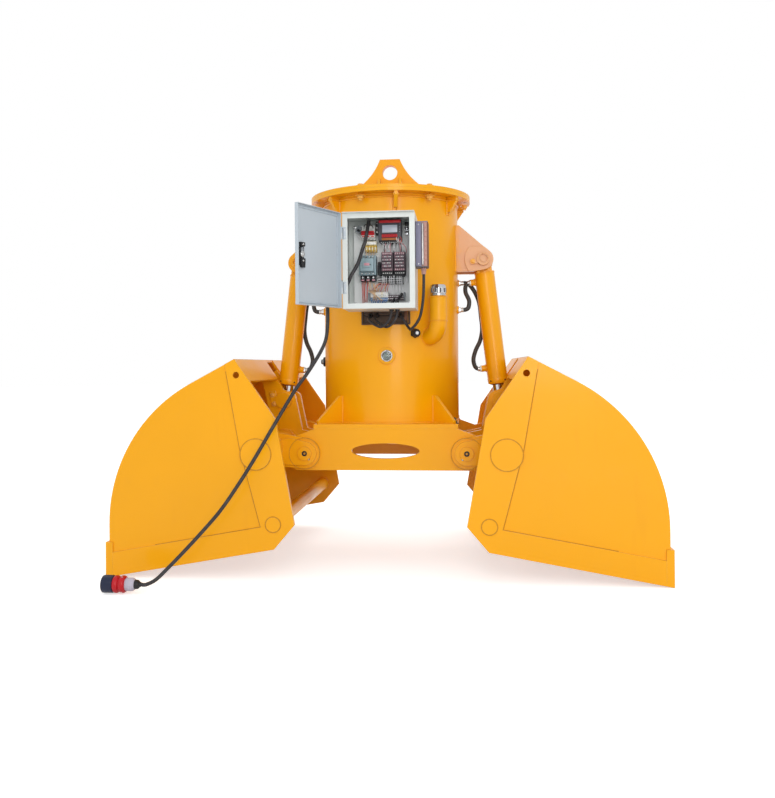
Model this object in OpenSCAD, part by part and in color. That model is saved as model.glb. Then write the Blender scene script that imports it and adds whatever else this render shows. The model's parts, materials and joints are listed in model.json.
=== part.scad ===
// Electro-hydraulic clamshell bucket: two jaws hung on a beam under a
// round power unit, each shut by its own cylinder. All sizes are in mm.
// Heights are first counted from the ground under the open jaws, and the
// whole model is then lowered so that its origin is the lifting eye.

/* [Jaws] */
// Width of each jaw over its side plates
jaw_w = 1250; // [1100:10:1400]
// Angle that each jaw turns between wide open and shut
open_angle = 80; // [76:1:82]
// Distance from the centre plane to each jaw hinge
hinge_x = 351; // [345:1:370]
// Gap from each shut lip to the centre plane
lip_gap = 3; // [1:0.5:6]
// Outer radius of the curved back of a jaw
back_r = 660; // [650:5:680]
// Thickness of the curved back plate
shell_t = 12; // [8:1:16]
// Thickness of a side plate without its doublers
side_t = 12; // [8:1:16]
// Thickness of the doublers on a side plate
doubler_t = 6; // [4:1:10]
// Width of the doubler along the lip edge of a side plate
lip_doubler_w = 98; // [80:2:120]
// Depth below the hinge that the rim doubler reaches
rim_doubler_depth = 212; // [200:2:230]
// Thickness of the cutting edge bar
edge_t = 30; // [24:2:36]
// Height of the cutting edge bar
edge_h = 145; // [100:5:180]
// How far the cutting edge stands out of the back plate
edge_proud = 14; // [8:1:18]
// Radius of the lashing hole near the crown of each side plate
lash_hole_r = 13.5; // [10:0.5:18]

/* [Jaw frame] */
// Outer diameter of the torque tube
torque_d = 125; // [110:5:130]
// Wall of the torque tube
torque_wall = 12; // [8:1:16]
// Outer diameter of the tube across the mouth
mouth_tube_d = 60; // [48:2:64]
// Wall of the tube across the mouth
mouth_tube_wall = 6; // [4:1:10]
// Thickness of each outer arm
outer_arm_t = 15; // [10:1:18]
// Thickness of the doubler on each outer arm
outer_arm_doubler_t = 10; // [6:1:12]
// Thickness of each middle arm
mid_arm_t = 25; // [20:1:30]
// Gap between the two middle arms
arm_gap = 100; // [98:1:110]
// Width of the crown plate that closes the top corner of a jaw
crown_plate_w = 110; // [90:5:125]
// Radius of the hinge boss on every arm
hinge_boss_r = 65; // [60:1:68]

/* [Pins] */
// Diameter of the jaw hinge pins
hinge_pin_d = 60; // [50:1:64]
// Diameter of the cylinder pins
cyl_pin_d = 40; // [34:1:44]
// Radial running clearance of every turning fit
run_gap = 0.05; // [0.02:0.01:0.08]
// Wall of the flanged bushes in the beam
bush_wall = 10; // [6:1:12]

/* [Beam and base] */
// Width of the beam over its front and rear plates
beam_w = 720; // [700:10:740]
// Thickness of the front and rear beam plates
beam_t = 22; // [16:1:28]
// Height of the beam
beam_h = 180; // [174:2:184]
// Height of the beam's top above the jaw hinges
beam_rise = 105; // [100:1:108]
// Half length of the oval hole in each beam plate
oval_half_l = 148; // [120:2:160]
// Half height of the oval hole in each beam plate
oval_half_h = 33; // [24:1:40]
// Thickness of the base plate
base_t = 20; // [14:1:26]
// Thickness of the base gussets
base_gusset_t = 14; // [10:1:20]

/* [Drum] */
// Outer diameter of the drum
drum_d = 630; // [620:2:636]
// Height of the drum wall
drum_h = 1013; // [1000:1:1040]
// Thickness of the drum wall
drum_wall = 10; // [6:1:14]
// How far the flange and the top cover stand out past the drum
flange_out = 59; // [50:1:70]
// Thickness of the flange
flange_t = 14; // [10:1:18]
// Thickness of the top cover
cover_t = 14; // [10:1:18]
// Number of cover bolts and of gussets under the flange
bolt_count = 7; // [5:1:9]
// Distance from the rim of the flange to each cover bolt
bolt_in = 24; // [20:1:27]
// Diameter of the cover bolts
bolt_d = 16; // [12:1:18]
// Height of the gussets under the flange
flange_gusset_h = 66; // [50:1:80]

/* [Lifting lug] */
// Height of the eye's centre above the cover
eye_rise = 126; // [122:1:130]
// Radius of the eye
eye_r = 35; // [30:1:37]
// Height of the lug
lug_h = 189; // [184:1:200]
// Thickness of the lug plate
lug_t = 40; // [30:1:50]
// Half length of the lug's foot
lug_half_l = 300; // [290:1:310]
// Radius of the lug's hollow flanks
flank_r = 280; // [276:1:284]

/* [Cylinders] */
// Distance from the centre plane to each upper cylinder pin
top_pin_x = 433; // [425:1:440]
// Height of each upper cylinder pin above the base plate
top_pin_rise = 742; // [730:1:750]
// Outer diameter of the cylinder barrels
barrel_d = 92; // [86:1:94]
// Wall of the cylinder barrels
barrel_wall = 9; // [6:1:10]
// Length of rod that shows between the barrel and the lower pin when open
neck_l = 76; // [68:1:84]
// Diameter of the piston rods
rod_d = 55; // [45:1:60]
// Height of the lower pin below the hinge when shut
rod_pin_drop = 116; // [112:1:120]
// Distance of the lower pin outward from the hinge when shut
rod_pin_out = 243; // [240:1:247]
// Thickness of the bracket plates
bracket_t = 20; // [14:1:24]

/* [Control box] */
// Width of the control box
box_w = 300; // [290:2:310]
// Height of the control box
box_h = 396; // [390:2:420]
// Depth of the control box
box_d = 200; // [196:1:210]
// Sheet thickness of the box and its door
sheet_t = 2.5; // [2:0.1:3]
// Width of the frame around the box opening
box_rim = 22; // [18:1:26]
// Angle at which the box door stands open
door_open = 116; // [100:1:120]
// Depth of the door's turned edges
door_depth = 16; // [14:1:20]

/* [Fittings] */
// Outer diameter of the oil filler pipe
filler_d = 76; // [70:1:80]
// Wall of the oil filler pipe
filler_wall = 4; // [3:0.5:6]
// Bend radius of the filler elbow
filler_bend = 66; // [60:1:70]
// Diameter of the breather cap
cap_d = 72; // [66:1:74]
// Height of the breather cap
cap_h = 50; // [44:1:56]
// Outer diameter of the sight glass ring
sight_d = 73; // [66:1:80]
// Visible diameter of the sight glass
glass_d = 43; // [38:1:48]
// Diameter of the supply cable
supply_d = 15; // [14:0.5:16]
// Diameter of the control leads
lead_d = 12; // [10:0.5:13]
// Outer diameter of the hydraulic hoses
hose_d = 20; // [18:1:22]

/* [Hidden] */

paint = "#F6A900";
steel = "#B9BDC1";
black = "#1E1F21";
grey = "#C9D1D6";
overrun = 5;
seam = 0.3;
hair = 0.2;
round_fn = 96;
small_fn = 48;

// Turns a point [x, z] about the Y axis
function turned(p, a) = [p[0] * cos(a) + p[1] * sin(a), p[1] * cos(a) - p[0] * sin(a)];
function polar(r, a) = r * [cos(a), sin(a)];
function unit(v) = v / norm(v);

// Shape of a jaw when shut, seen along Y, measured from its hinge
mouth = hinge_x - lip_gap;
back_in = 246;
crown_drop = 170;
crown_angle = 18;
lip_angle = 80;
back_c = [-back_in, -crown_drop];
rim_drop = 45;
kink_x = 175;
throat_x = 264;
throat_drop = 147;
function lip_point(r) = [-mouth, back_c[1] - (r - (back_in - mouth) * cos(lip_angle)) / sin(lip_angle)];
function crown_point(r) = back_c + [r / cos(crown_angle), 0];
kink = [kink_x, -rim_drop];
crown = crown_point(back_r);

// Heights above the ground, from the lips up, the first one kept to an even step
height_step = 0.1;
lip_low = lip_point(back_r + edge_proud);
hinge_z = height_step * round((mouth * sin(open_angle) - lip_low[1] * cos(open_angle)) / height_step);
beam_top = hinge_z + beam_rise;
beam_foot = beam_top - beam_h;
base_top = beam_top + base_t;
drum_top = base_top + drum_h;
cover_z = drum_top + flange_t;
cover_top = cover_z + cover_t;
eye_z = cover_top + eye_rise;
drum_r = drum_d / 2;
top_pin_z = base_top + top_pin_rise;
flange_d = drum_d + 2 * flange_out;
bolt_circle_r = flange_d / 2 - bolt_in;

module above_ground() translate([0, 0, -eye_z]) children();
module on_side(side) {
    if (side < 0) mirror([1, 0, 0]) children();
    else children();
}
// A flat outline in X and Z made a plate that starts at y and is t thick
module slab(y, t) translate([0, y + t, 0]) rotate([90, 0, 0]) linear_extrude(t) children();
module bar_y(at, r, y, l, fn = round_fn) {
    translate([at[0], y + l, at[1]]) rotate([90, 0, 0]) cylinder(r = r, h = l, $fn = fn);
}
// A flat link, t thick from y: two discs and the area between their tangents
module link(a, ra, b, rb, y, t) {
    d = b - a;
    dir = atan2(d[1], d[0]);
    lean = acos((ra - rb) / norm(d));
    bar_y(a, ra, y, t);
    bar_y(b, rb, y, t);
    slab(y, t) polygon([a + polar(ra - hair, dir + lean), b + polar(rb - hair, dir + lean),
                        b + polar(rb - hair, dir - lean), a + polar(ra - hair, dir - lean)]);
}

// Jaws: every module below draws the shut right jaw about its hinge
module as_jaw(side) {
    above_ground() on_side(side)
        translate([hinge_x, 0, hinge_z]) rotate([0, -open_angle, 0]) children();
}
side_y = jaw_w / 2;
side_in_y = side_y - doubler_t - side_t;

lap_angle = 10;
module jaw_block(r, y, t) {
    reach = 2 * r;
    intersection() {
        bar_y(back_c, r, y, t, 2 * round_fn);
        slab(y, t) polygon([back_c, back_c + polar(reach, lap_angle - crown_angle),
            back_c + polar(reach, -(crown_angle + lip_angle) / 2),
            back_c + polar(reach, -lip_angle - lap_angle)]);
    }
    slab(y, t) polygon([back_c, back_c + polar(r, -lip_angle), lip_point(r), [-mouth, -throat_drop],
        [-throat_x, -rim_drop], kink, crown_point(r), back_c + polar(r, -crown_angle)]);
}
// The cutting edge bar, parallel to the straight end of the back plate
lip_run = (back_in - mouth) * -sin(lip_angle) - (lip_point(back_r)[1] - back_c[1]) * cos(lip_angle);
module edge_outline() {
    intersection() {
        translate(back_c) rotate(-lip_angle)
            translate([back_r + edge_proud - edge_t, -lip_run - edge_t]) square([edge_t, edge_h + edge_t]);
        translate([-mouth, -3 * back_r]) square(3 * back_r);
    }
}
tube_r = torque_d / 2;
mouth_tube_r = mouth_tube_d / 2;
torque_at = [47, -152];
mouth_tube_at = [-247, -132];
lash_at = [381, -174];

rim_bend_x = 82;
rim_step_share = 0.87;
module doubler_zone() {
    far = 3 * back_r;
    lip_in = lip_doubler_w - mouth;
    polygon([[-mouth - overrun, -rim_doubler_depth * rim_step_share - lip_doubler_w],
             [lip_in, -rim_doubler_depth * rim_step_share - lip_doubler_w],
             [lip_in, -rim_doubler_depth * rim_step_share],
             [rim_bend_x, -rim_doubler_depth], [far, -rim_doubler_depth], [far, overrun],
             [-mouth - overrun, overrun]]);
    translate([-mouth - overrun, -far]) square([lip_doubler_w + overrun, far - rim_doubler_depth]);
}
module side_plates() for (m = [0, 1]) mirror([0, m, 0]) difference() {
    start = side_in_y - overrun;
    union() {
        jaw_block(back_r, side_in_y, side_t);
        intersection() {
            jaw_block(back_r, side_y - doubler_t, doubler_t);
            slab(side_y - doubler_t, doubler_t) doubler_zone();
        }
    }
    slab(start, jaw_w) edge_outline();
    bar_y(torque_at, tube_r + seam, start, jaw_w);
    bar_y(mouth_tube_at, mouth_tube_r + seam, start, jaw_w);
    bar_y(lash_at, lash_hole_r, start, jaw_w, small_fn);
}
// The curved plate: a block less its inside, its rim and the cutting edge
module back_plate() difference() {
    in_r = back_r - shell_t;
    line_r = in_r + hair;
    side = mouth + overrun;
    jaw_block(back_r, -side_in_y, 2 * side_in_y);
    bar_y(back_c, in_r, -side_y, jaw_w, 2 * round_fn);
    slab(-side_y, jaw_w) polygon([back_c + polar(line_r, -lip_angle), lip_point(line_r),
        lip_point(line_r) - [overrun, 0], [-side, back_r], [back_r, back_r], [back_r, -crown_drop],
        crown_point(line_r), back_c + polar(line_r, -crown_angle), back_c]);
    slab(-side_y, jaw_w) edge_outline();
}
module cutting_edge() slab(-side_y, jaw_w) edge_outline();

// Frame of a jaw: torque tube, mouth tube, arms and crown plates
arm_y = arm_gap / 2;
outer_arm_gap = 2;
outer_arm_y = beam_w / 2 + outer_arm_gap;
collar = 14;
rod_pin = [rod_pin_out, -rod_pin_drop];
arm_depth = 130;
arm_neck_shares = [[0.35, -0.38], [0.52, -0.41]];
arm_top_shares = [[0.1, 0.44], [0.2, 0.37], [0.38, 0.06]];
arm_back_shares = [[0.98, -0.67], [-0.21, -0.59]];
crown_dir = unit(kink - crown);
crown_in = [-crown_dir[1], crown_dir[0]];
function on_crown(along, deep) = crown + along * crown_dir + deep * crown_in;

module hinge_hole() bar_y([0, 0], hinge_pin_d / 2 + run_gap, 0, jaw_w);
module outer_arm() difference() {
    union() {
        link([0, 0], hinge_boss_r, torque_at, tube_r + collar, outer_arm_y, outer_arm_t);
        link([0, 0], hinge_boss_r - collar, torque_at * 0.45, hinge_boss_r - collar / 2,
             outer_arm_y + outer_arm_t, outer_arm_doubler_t);
    }
    hinge_hole();
}
pin_boss_r = 38;
pin_boss_t = 12;
module mid_arm() difference() {
    union() {
        slab(arm_y, mid_arm_t) polygon(concat([[0, 0]],
            [for (s = arm_neck_shares) arm_depth * s],
            [for (s = arm_top_shares) rod_pin + arm_depth * s],
            [on_crown(crown_plate_w, shell_t / 2), on_crown(crown_plate_w / 2, shell_t / 2)],
            [for (s = arm_back_shares) rod_pin + arm_depth * s],
            [torque_at + polar(tube_r, -60), torque_at]));
        link([0, 0], hinge_boss_r, torque_at, tube_r + collar, arm_y, mid_arm_t);
        bar_y(rod_pin, pin_boss_r, arm_y + mid_arm_t, pin_boss_t, small_fn);
        keeper();
    }
    hinge_hole();
}
keeper_l = 70;
keeper_w = 22;
keeper_t = 8;
module keeper() {
    translate([rod_pin[0] - keeper_l / 4, arm_y + mid_arm_t, rod_pin[1] - pin_boss_r - keeper_w])
        cube([keeper_l, keeper_t, keeper_w + keeper_t]);
}
module crown_plate() {
    start = arm_y + mid_arm_t;
    slab(start, side_in_y - start) polygon([crown, on_crown(crown_plate_w, 0),
        on_crown(crown_plate_w, shell_t), on_crown(shell_t, shell_t), crown_point(back_r - shell_t)]);
}
tube_half = side_y + doubler_t / 3;
weep_r = 5;
// The hollow of a tube, with a weep hole on its underside
module tube_bore(at, r, wall) {
    bar_y(at, r - wall, -tube_half + wall, 2 * (tube_half - wall));
    translate([at[0], 0, at[1] - r - overrun]) cylinder(r = weep_r, h = r, $fn = small_fn);
}
module jaw_frame() difference() {
    union() {
        bar_y(torque_at, tube_r, -tube_half, 2 * tube_half);
        bar_y(mouth_tube_at, mouth_tube_r, -tube_half, 2 * tube_half);
        for (m = [0, 1]) mirror([0, m, 0]) {
            outer_arm();
            mid_arm();
            crown_plate();
        }
    }
    tube_bore(torque_at, tube_r, torque_wall);
    tube_bore(mouth_tube_at, mouth_tube_r, mouth_tube_wall);
}
pin_end = 6;
nipple_r = 12;
module hinge_pin() {
    half = outer_arm_y + outer_arm_t + outer_arm_doubler_t + pin_end;
    difference() {
        bar_y([0, 0], hinge_pin_d / 2, -half, 2 * half);
        for (m = [0, 1]) mirror([0, m, 0]) bar_y([0, 0], nipple_r, half - pin_end, pin_end + overrun, small_fn);
    }
    for (m = [0, 1]) mirror([0, m, 0]) bar_y([0, 0], nipple_r / 3, half - pin_end, pin_end * 0.8, small_fn);
}

// Cylinders: drawn hanging straight down from the upper pin
top_pin = [top_pin_x, top_pin_z];
rod_pin_open = [hinge_x, hinge_z] + turned(rod_pin, -open_angle);
open_run = rod_pin_open - top_pin;
open_l = norm(open_run);
tilt_open = atan2(open_run[0], -open_run[1]);
barrel_l = open_l - neck_l;
module as_cylinder(side) {
    above_ground() on_side(side)
        translate([top_pin[0], 0, top_pin[1]]) rotate([0, -tilt_open, 0]) children();
}
eye_gap = 5;
eye_wide = arm_gap - 2 * eye_gap;
eye_out_r = 44;
rod_eye_r = 42;
bore_r = barrel_d / 2 - barrel_wall;
cap_end = 75;
cap_start = 52;
gland_l = 30;
piston_l = 50;
cushion = 35;
piston_start = cap_end + cushion;
port_r = 15;
port_reach = 22;
module pin_hole_y(at) bar_y(at, cyl_pin_d / 2 + run_gap, -eye_wide, 2 * eye_wide);
port_in = 20;
port_rise = 75;
port_depths = [cap_end + port_in, barrel_l - port_rise];
module barrel() {
    difference() {
        union() {
            translate([0, 0, -barrel_l]) cylinder(d = barrel_d, h = barrel_l - cap_start, $fn = round_fn);
            bar_y([0, 0], eye_out_r, -eye_wide / 2, eye_wide);
            translate([-eye_out_r * 0.8, -eye_wide / 2 + overrun, -cap_start - overrun])
                cube([eye_out_r * 1.6, eye_wide - 2 * overrun, cap_start]);
            for (z = port_depths) translate([0, 0, -z]) rotate([0, -90, 0])
                cylinder(r = port_r, h = barrel_d / 2 + port_reach, $fn = small_fn);
        }
        translate([0, 0, -barrel_l + gland_l])
            cylinder(r = bore_r, h = barrel_l - gland_l - cap_end, $fn = round_fn);
        translate([0, 0, -barrel_l - overrun])
            cylinder(r = rod_d / 2 + run_gap, h = gland_l + 2 * overrun, $fn = round_fn);
        pin_hole_y([0, 0]);
    }
}
module rod() {
    difference() {
        union() {
            translate([0, 0, -open_l]) cylinder(d = rod_d, h = open_l - piston_start, $fn = round_fn);
            translate([0, 0, -piston_start - piston_l])
                cylinder(r = bore_r - run_gap, h = piston_l, $fn = round_fn);
            bar_y([0, -open_l], rod_eye_r, -eye_wide / 2, eye_wide);
        }
        pin_hole_y([0, -open_l]);
    }
}
pin_proud = 4.4;
module eye_pin() {
    bar_y([0, -open_l], cyl_pin_d / 2, -eye_wide / 2 - pin_proud, eye_wide + 2 * pin_proud);
}

// A round tube swept along a route of points, as one closed body
function mid_point(p, i, t) =
    let (a = p[max(i - 1, 0)], b = p[i], c = p[i + 1], d = p[min(i + 2, len(p) - 1)])
    0.5 * (2 * b + (c - a) * t + (2 * a - 5 * b + 4 * c - d) * t * t + (3 * b - a - 3 * c + d) * t * t * t);
function smooth_route(p, n) = concat(
    [for (i = [0 : len(p) - 2]) for (k = [0 : n - 1]) mid_point(p, i, k / n)], [p[len(p) - 1]]);
function heading(q, i) = unit(q[min(i + 1, len(q) - 1)] - q[max(i - 1, 0)]);
module swept(route, d, n, sides, aside) {
    q = smooth_route(route, n);
    last = len(q) - 1;
    rings = [for (i = [0 : last])
        let (t = i == 0 ? heading(route, 0) : i == last ? heading(route, len(route) - 1) : heading(q, i),
             u = unit(aside - (aside * t) * t), v = cross(t, u))
        for (k = [0 : sides - 1]) q[i] + d / 2 * (cos(360 * k / sides) * u + sin(360 * k / sides) * v)];
    walls = [for (i = [0 : last - 1]) for (k = [0 : sides - 1])
        let (a = i * sides + k, b = i * sides + (k + 1) % sides)
        for (f = [[a, a + sides, b], [b, a + sides, b + sides]]) f];
    polyhedron(rings, concat(walls, [[for (k = [0 : sides - 1]) k]],
        [[for (k = [sides - 1 : -1 : 0]) last * sides + k]]));
}

// Hoses along the inner side of a barrel, riding on it. Each starts on a port
// of the barrel and ends in a crimped fitting that faces the drum.
hose_x = barrel_d / 2 + port_reach;
fitting_l = 28;
fitting_r = 13;
fitting_az = [6.2, -5.5];
fitting_drops = [100, 230];
function fitting_tip(k) =
    let (r = drum_r + seam + fitting_l, dx = r * cos(fitting_az[k]) - top_pin_x, dz = -fitting_drops[k])
    [dx * cos(tilt_open) + dz * sin(tilt_open), r * sin(fitting_az[k]),
     dz * cos(tilt_open) - dx * sin(tilt_open)];
// Points of the hoses, in hose diameters from a port or from a fitting's tip
low_port_shares = [[0, 0, 0], [-0.5, 0, 0], [-1.4, 0.4, 0.6], [-1.6, 1.2, 2.4], [-0.8, 1.8, 4.5],
                   [0.5, 2.1, 6.6], [1.3, 2.1, 9.2], [1.4, 2.1, 12.2]];
low_end_shares = [[3.1, 0.4, -5], [2.4, 0.3, -2.4], [1.4, 0.1, -0.6], [0.5, 0, 0], [0, 0, 0]];
top_port_shares = [[0, 0, 0], [-0.5, 0, 0], [-1.3, -0.4, -0.6], [-1.5, -1, -2.2]];
top_end_shares = [[1.5, 0.15, 2], [1.15, 0, 0.4], [0.5, 0, 0], [0, 0, 0]];
module hose_run(port, from_shares, tip, end_shares) swept(concat(
    [for (s = from_shares) [-hose_x, 0, -port] + hose_d * s], [for (s = end_shares) tip + hose_d * s]),
    hose_d, 3, 8, [0, 1, 0]);
module hose_fitting(k) rotate([0, tilt_open, 0]) translate([-top_pin_x, 0, -fitting_drops[k]])
    rotate([0, 0, fitting_az[k]]) translate([drum_r + seam, 0, 0]) rotate([0, 90, 0]) {
        cylinder(r = fitting_r, h = fitting_l / 2, $fn = 6);
        cylinder(r = fitting_r * 0.9, h = fitting_l, $fn = small_fn);
    }
module hoses() {
    hose_run(port_depths[1], low_port_shares, fitting_tip(0), low_end_shares);
    hose_run(port_depths[0], top_port_shares, fitting_tip(1), top_end_shares);
    for (k = [0, 1]) hose_fitting(k);
}

// Drum, flange, cover and lug
window_w = 196;
window_h = 64;
window_rise = 442;
window_z = base_top + window_rise;
module ring(r_out, r_in, h) {
    difference() {
        cylinder(r = r_out, h = h, $fn = 2 * round_fn);
        translate([0, 0, -overrun]) cylinder(r = r_in, h = h + 2 * overrun, $fn = 2 * round_fn);
    }
}
module window_block(grow) {
    translate([-window_w / 2 - grow, -drum_r - overrun, window_z - grow])
        cube([window_w + 2 * grow, drum_r / 3, window_h + 2 * grow]);
}
sight_x = 6;
sight_rise = 297;
sight_at = [sight_x, sight_rise];
filler_az = 37;
filler_gap = 4;
filler_r = drum_r + filler_bend + filler_gap;
filler_rise = 382;
filler_z = base_top + filler_rise;
filler_stub = 108;
gland_x = 127;
gland_rise = 396;
module at_filler() rotate([0, 0, filler_az]) translate([0, -filler_r, filler_z]) children();
// Places a fitting on the drum's front wall, its axis pointing outward
module on_drum(x, z) {
    az = asin(x / drum_r);
    rotate([0, 0, az]) translate([0, -drum_r, z]) rotate([90, 0, 0]) children();
}
module drum_shell() color(paint) above_ground() {
    difference() {
        translate([0, 0, base_top]) ring(drum_r, drum_r - drum_wall, drum_h);
        window_block(0);
        on_drum(sight_at[0], base_top + sight_at[1])
            translate([0, 0, -2 * drum_wall]) cylinder(d = glass_d, h = 3 * drum_wall, $fn = small_fn);
        at_filler() rotate([-90, 0, 0])
            cylinder(d = filler_d - 2 * filler_wall, h = filler_r - drum_r + 2 * drum_wall, $fn = small_fn);
    }
}
first_gusset = 8.7;
first_bolt = -17;
step = 360 / bolt_count;
gusset_t = 16;
bolt_gap = 1;
bolt_hole_d = bolt_d + 2 * bolt_gap;
module bolt_places(z) {
    for (i = [0 : bolt_count - 1]) rotate([0, 0, first_bolt + i * step])
        translate([0, -bolt_circle_r, z]) children();
}
module drum_flange() color(paint) above_ground() {
    difference() {
        translate([0, 0, drum_top]) ring(flange_d / 2, drum_r - drum_wall, flange_t);
        bolt_places(drum_top - overrun) cylinder(d = bolt_hole_d, h = flange_t + 2 * overrun, $fn = small_fn);
    }
    difference() {
        for (i = [0 : bolt_count - 1]) rotate([0, 0, first_gusset + i * step])
            translate([gusset_t / 2, 0, drum_top]) rotate([90, 0, -90]) linear_extrude(gusset_t)
                polygon([[drum_r - drum_wall / 2, flange_t / 2], [flange_d / 2 - gusset_t / 2, flange_t / 2],
                         [flange_d / 2 - gusset_t / 2, -gusset_t], [drum_r + gusset_t, -flange_gusset_h],
                         [drum_r - drum_wall / 2, -flange_gusset_h]]);
        translate([0, 0, drum_top - drum_h]) cylinder(r = drum_r + hair, h = drum_h, $fn = 2 * round_fn);
    }
}
module top_cover() color(paint) above_ground() {
    difference() {
        translate([0, 0, cover_z]) cylinder(d = flange_d, h = cover_t, $fn = 2 * round_fn);
        bolt_places(cover_z - overrun) cylinder(d = bolt_hole_d, h = cover_t + 2 * overrun, $fn = small_fn);
    }
}
rib_t = 12;
rib_x = 50;
rib_reach = 90;
rib_h = 96;
flank_out = 8;
lug_foot_t = 10;
module lifting_lug() color(paint) above_ground() translate([0, 0, cover_top]) {
    slab(-lug_t / 2, lug_t) difference() {
        translate([-lug_half_l, 0]) square([2 * lug_half_l, lug_h]);
        for (s = [-1, 1]) translate([s * (lug_half_l + flank_out), flank_r + lug_foot_t])
            circle(flank_r, $fn = 2 * round_fn);
        translate([0, eye_rise]) circle(eye_r, $fn = round_fn);
    }
    for (sx = [-1, 1], m = [0, 1]) mirror([0, m, 0])
        translate([sx * rib_x - rib_t / 2, lug_t / 2, 0]) rotate([90, 0, 90]) linear_extrude(rib_t)
            polygon([[0, 0], [rib_reach, 0], [rib_reach, rib_t], [rib_t, rib_h], [0, rib_h]]);
}
bolt_head_h = 10;
bolt_nut_h = 13;
bolt_tail = 8;
module cover_bolts() color(paint) above_ground() bolt_places(cover_top) {
    bolt_hex = bolt_d * 0.87;
    cylinder(r = bolt_hex, h = bolt_head_h, $fn = 6);
    translate([0, 0, -cover_t - flange_t - bolt_nut_h - bolt_tail])
        cylinder(d = bolt_d, h = cover_t + flange_t + bolt_nut_h + bolt_tail, $fn = small_fn);
    translate([0, 0, -cover_t - flange_t - bolt_nut_h]) cylinder(r = bolt_hex, h = bolt_nut_h, $fn = 6);
}

// Base plate, gussets and beam
module base_plate() color(paint) above_ground() {
    translate([-drum_r, -beam_w / 2, beam_top]) cube([drum_d, beam_w, base_t]);
}
base_gusset_h = 120;
base_gusset_out = 455;
module base_gussets() color(paint) above_ground() difference() {
    for (sx = [-1, 1], sy = [-1, 1]) rotate([0, 0, atan2(sy * beam_w / 2, sx * drum_r)])
        translate([0, base_gusset_t / 2, base_top]) rotate([90, 0, 0]) linear_extrude(base_gusset_t)
            polygon([[drum_r - drum_wall / 2, 0], [base_gusset_out, 0], [base_gusset_out, base_gusset_t],
                     [drum_r + base_gusset_t, base_gusset_h], [drum_r - drum_wall / 2, base_gusset_h]]);
    translate([0, 0, base_top - overrun]) cylinder(r = drum_r, h = drum_h, $fn = 2 * round_fn);
}
beam_end_r = 85;
beam_slope = 25;
oval_points = 40;
oval_drop = 6;
module beam_plate(y) difference() {
    hinge = [hinge_x, hinge_z];
    top_half = drum_r - overrun;
    union() {
        translate([-top_half, y, beam_foot]) cube([2 * top_half, beam_t, beam_h]);
        for (s = [-1, 1]) on_side(s) {
            intersection() {
                bar_y(hinge, beam_end_r, y, beam_t, 2 * round_fn);
                translate([hair, y - overrun, beam_foot]) cube([2 * hinge_x, beam_t + 2 * overrun, beam_h]);
            }
            slab(y, beam_t) polygon([[hair, beam_foot], [hinge_x, beam_foot], hinge,
                hinge + polar(beam_end_r - hair, 90 - beam_slope), [top_half, beam_top], [hair, beam_top]]);
        }
    }
    slab(y - overrun, beam_t + 2 * overrun)
        translate([0, (beam_foot + beam_top) / 2 - oval_drop])
            polygon([for (k = [0 : oval_points - 1])
                [oval_half_l * cos(360 * k / oval_points), oval_half_h * sin(360 * k / oval_points)]]);
    for (s = [-1, 1]) bar_y([s * hinge_x, hinge_z], hinge_pin_d / 2 + run_gap + bush_wall,
        y - overrun, beam_t + 2 * overrun);
}
module beam_plates() color(paint) above_ground() {
    beam_plate(-beam_w / 2);
    beam_plate(beam_w / 2 - beam_t);
}
cross_x = 262;
cross_t = 16;
module beam_cross_plates() color(paint) above_ground() {
    for (s = [-1, 1]) translate([s * (cross_x - cross_t / 2) - cross_t / 2, -beam_w / 2 + beam_t, beam_foot])
        cube([cross_t, beam_w - 2 * beam_t, beam_h]);
}
bush_flange = 8;
bush_flange_t = 1.5;
module hinge_bushes() color(steel) above_ground() for (s = [-1, 1], m = [0, 1]) mirror([0, m, 0]) {
    at = [s * hinge_x, hinge_z];
    out_r = hinge_pin_d / 2 + bush_wall;
    difference() {
        union() {
            bar_y(at, out_r, beam_w / 2 - beam_t - bush_wall, beam_t + bush_wall + bush_flange_t);
            bar_y(at, out_r + bush_flange, beam_w / 2 - beam_t - bush_wall, bush_wall);
        }
        bar_y(at, hinge_pin_d / 2 + run_gap, beam_w / 2 - 3 * beam_t, 4 * beam_t);
    }
}

// Brackets and pins that carry the cylinders
bracket_top = 159;
bracket_foot = 55;
bracket_nose_r = 47;
bracket_doubler_t = 10;
pin_head_r = 30;
pin_head_t = 14;
bracket_top_x = 323;
module bracket_outline() {
    nose = top_pin;
    difference() {
        union() {
            translate(nose) circle(bracket_nose_r, $fn = round_fn);
            polygon([[drum_r * 0.8, top_pin_z + bracket_top], [bracket_top_x, top_pin_z + bracket_top],
                     nose + polar(bracket_nose_r, 47), nose, nose + polar(bracket_nose_r, -80),
                     nose + [-bracket_nose_r, -bracket_foot], [drum_r * 0.8, top_pin_z - bracket_foot]]);
        }
        translate(nose) circle(cyl_pin_d / 2 + run_gap, $fn = round_fn);
    }
}
module bracket_doubler() {
    intersection() {
        bracket_outline();
        translate(top_pin) circle(2 * bracket_nose_r * 0.9, $fn = round_fn);
        translate([0, top_pin_z - 2 * bracket_nose_r]) square([2 * top_pin_x, 3.2 * bracket_nose_r]);
    }
}
module cylinder_brackets() color(paint) above_ground() difference() {
    for (s = [-1, 1], m = [0, 1]) on_side(s) mirror([0, m, 0]) {
        slab(arm_y, bracket_t) bracket_outline();
        slab(arm_y + bracket_t, bracket_doubler_t) bracket_doubler();
    }
    translate([0, 0, base_top]) cylinder(r = drum_r, h = drum_h, $fn = 2 * round_fn);
}
pin_keeper_l = 60;
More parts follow.
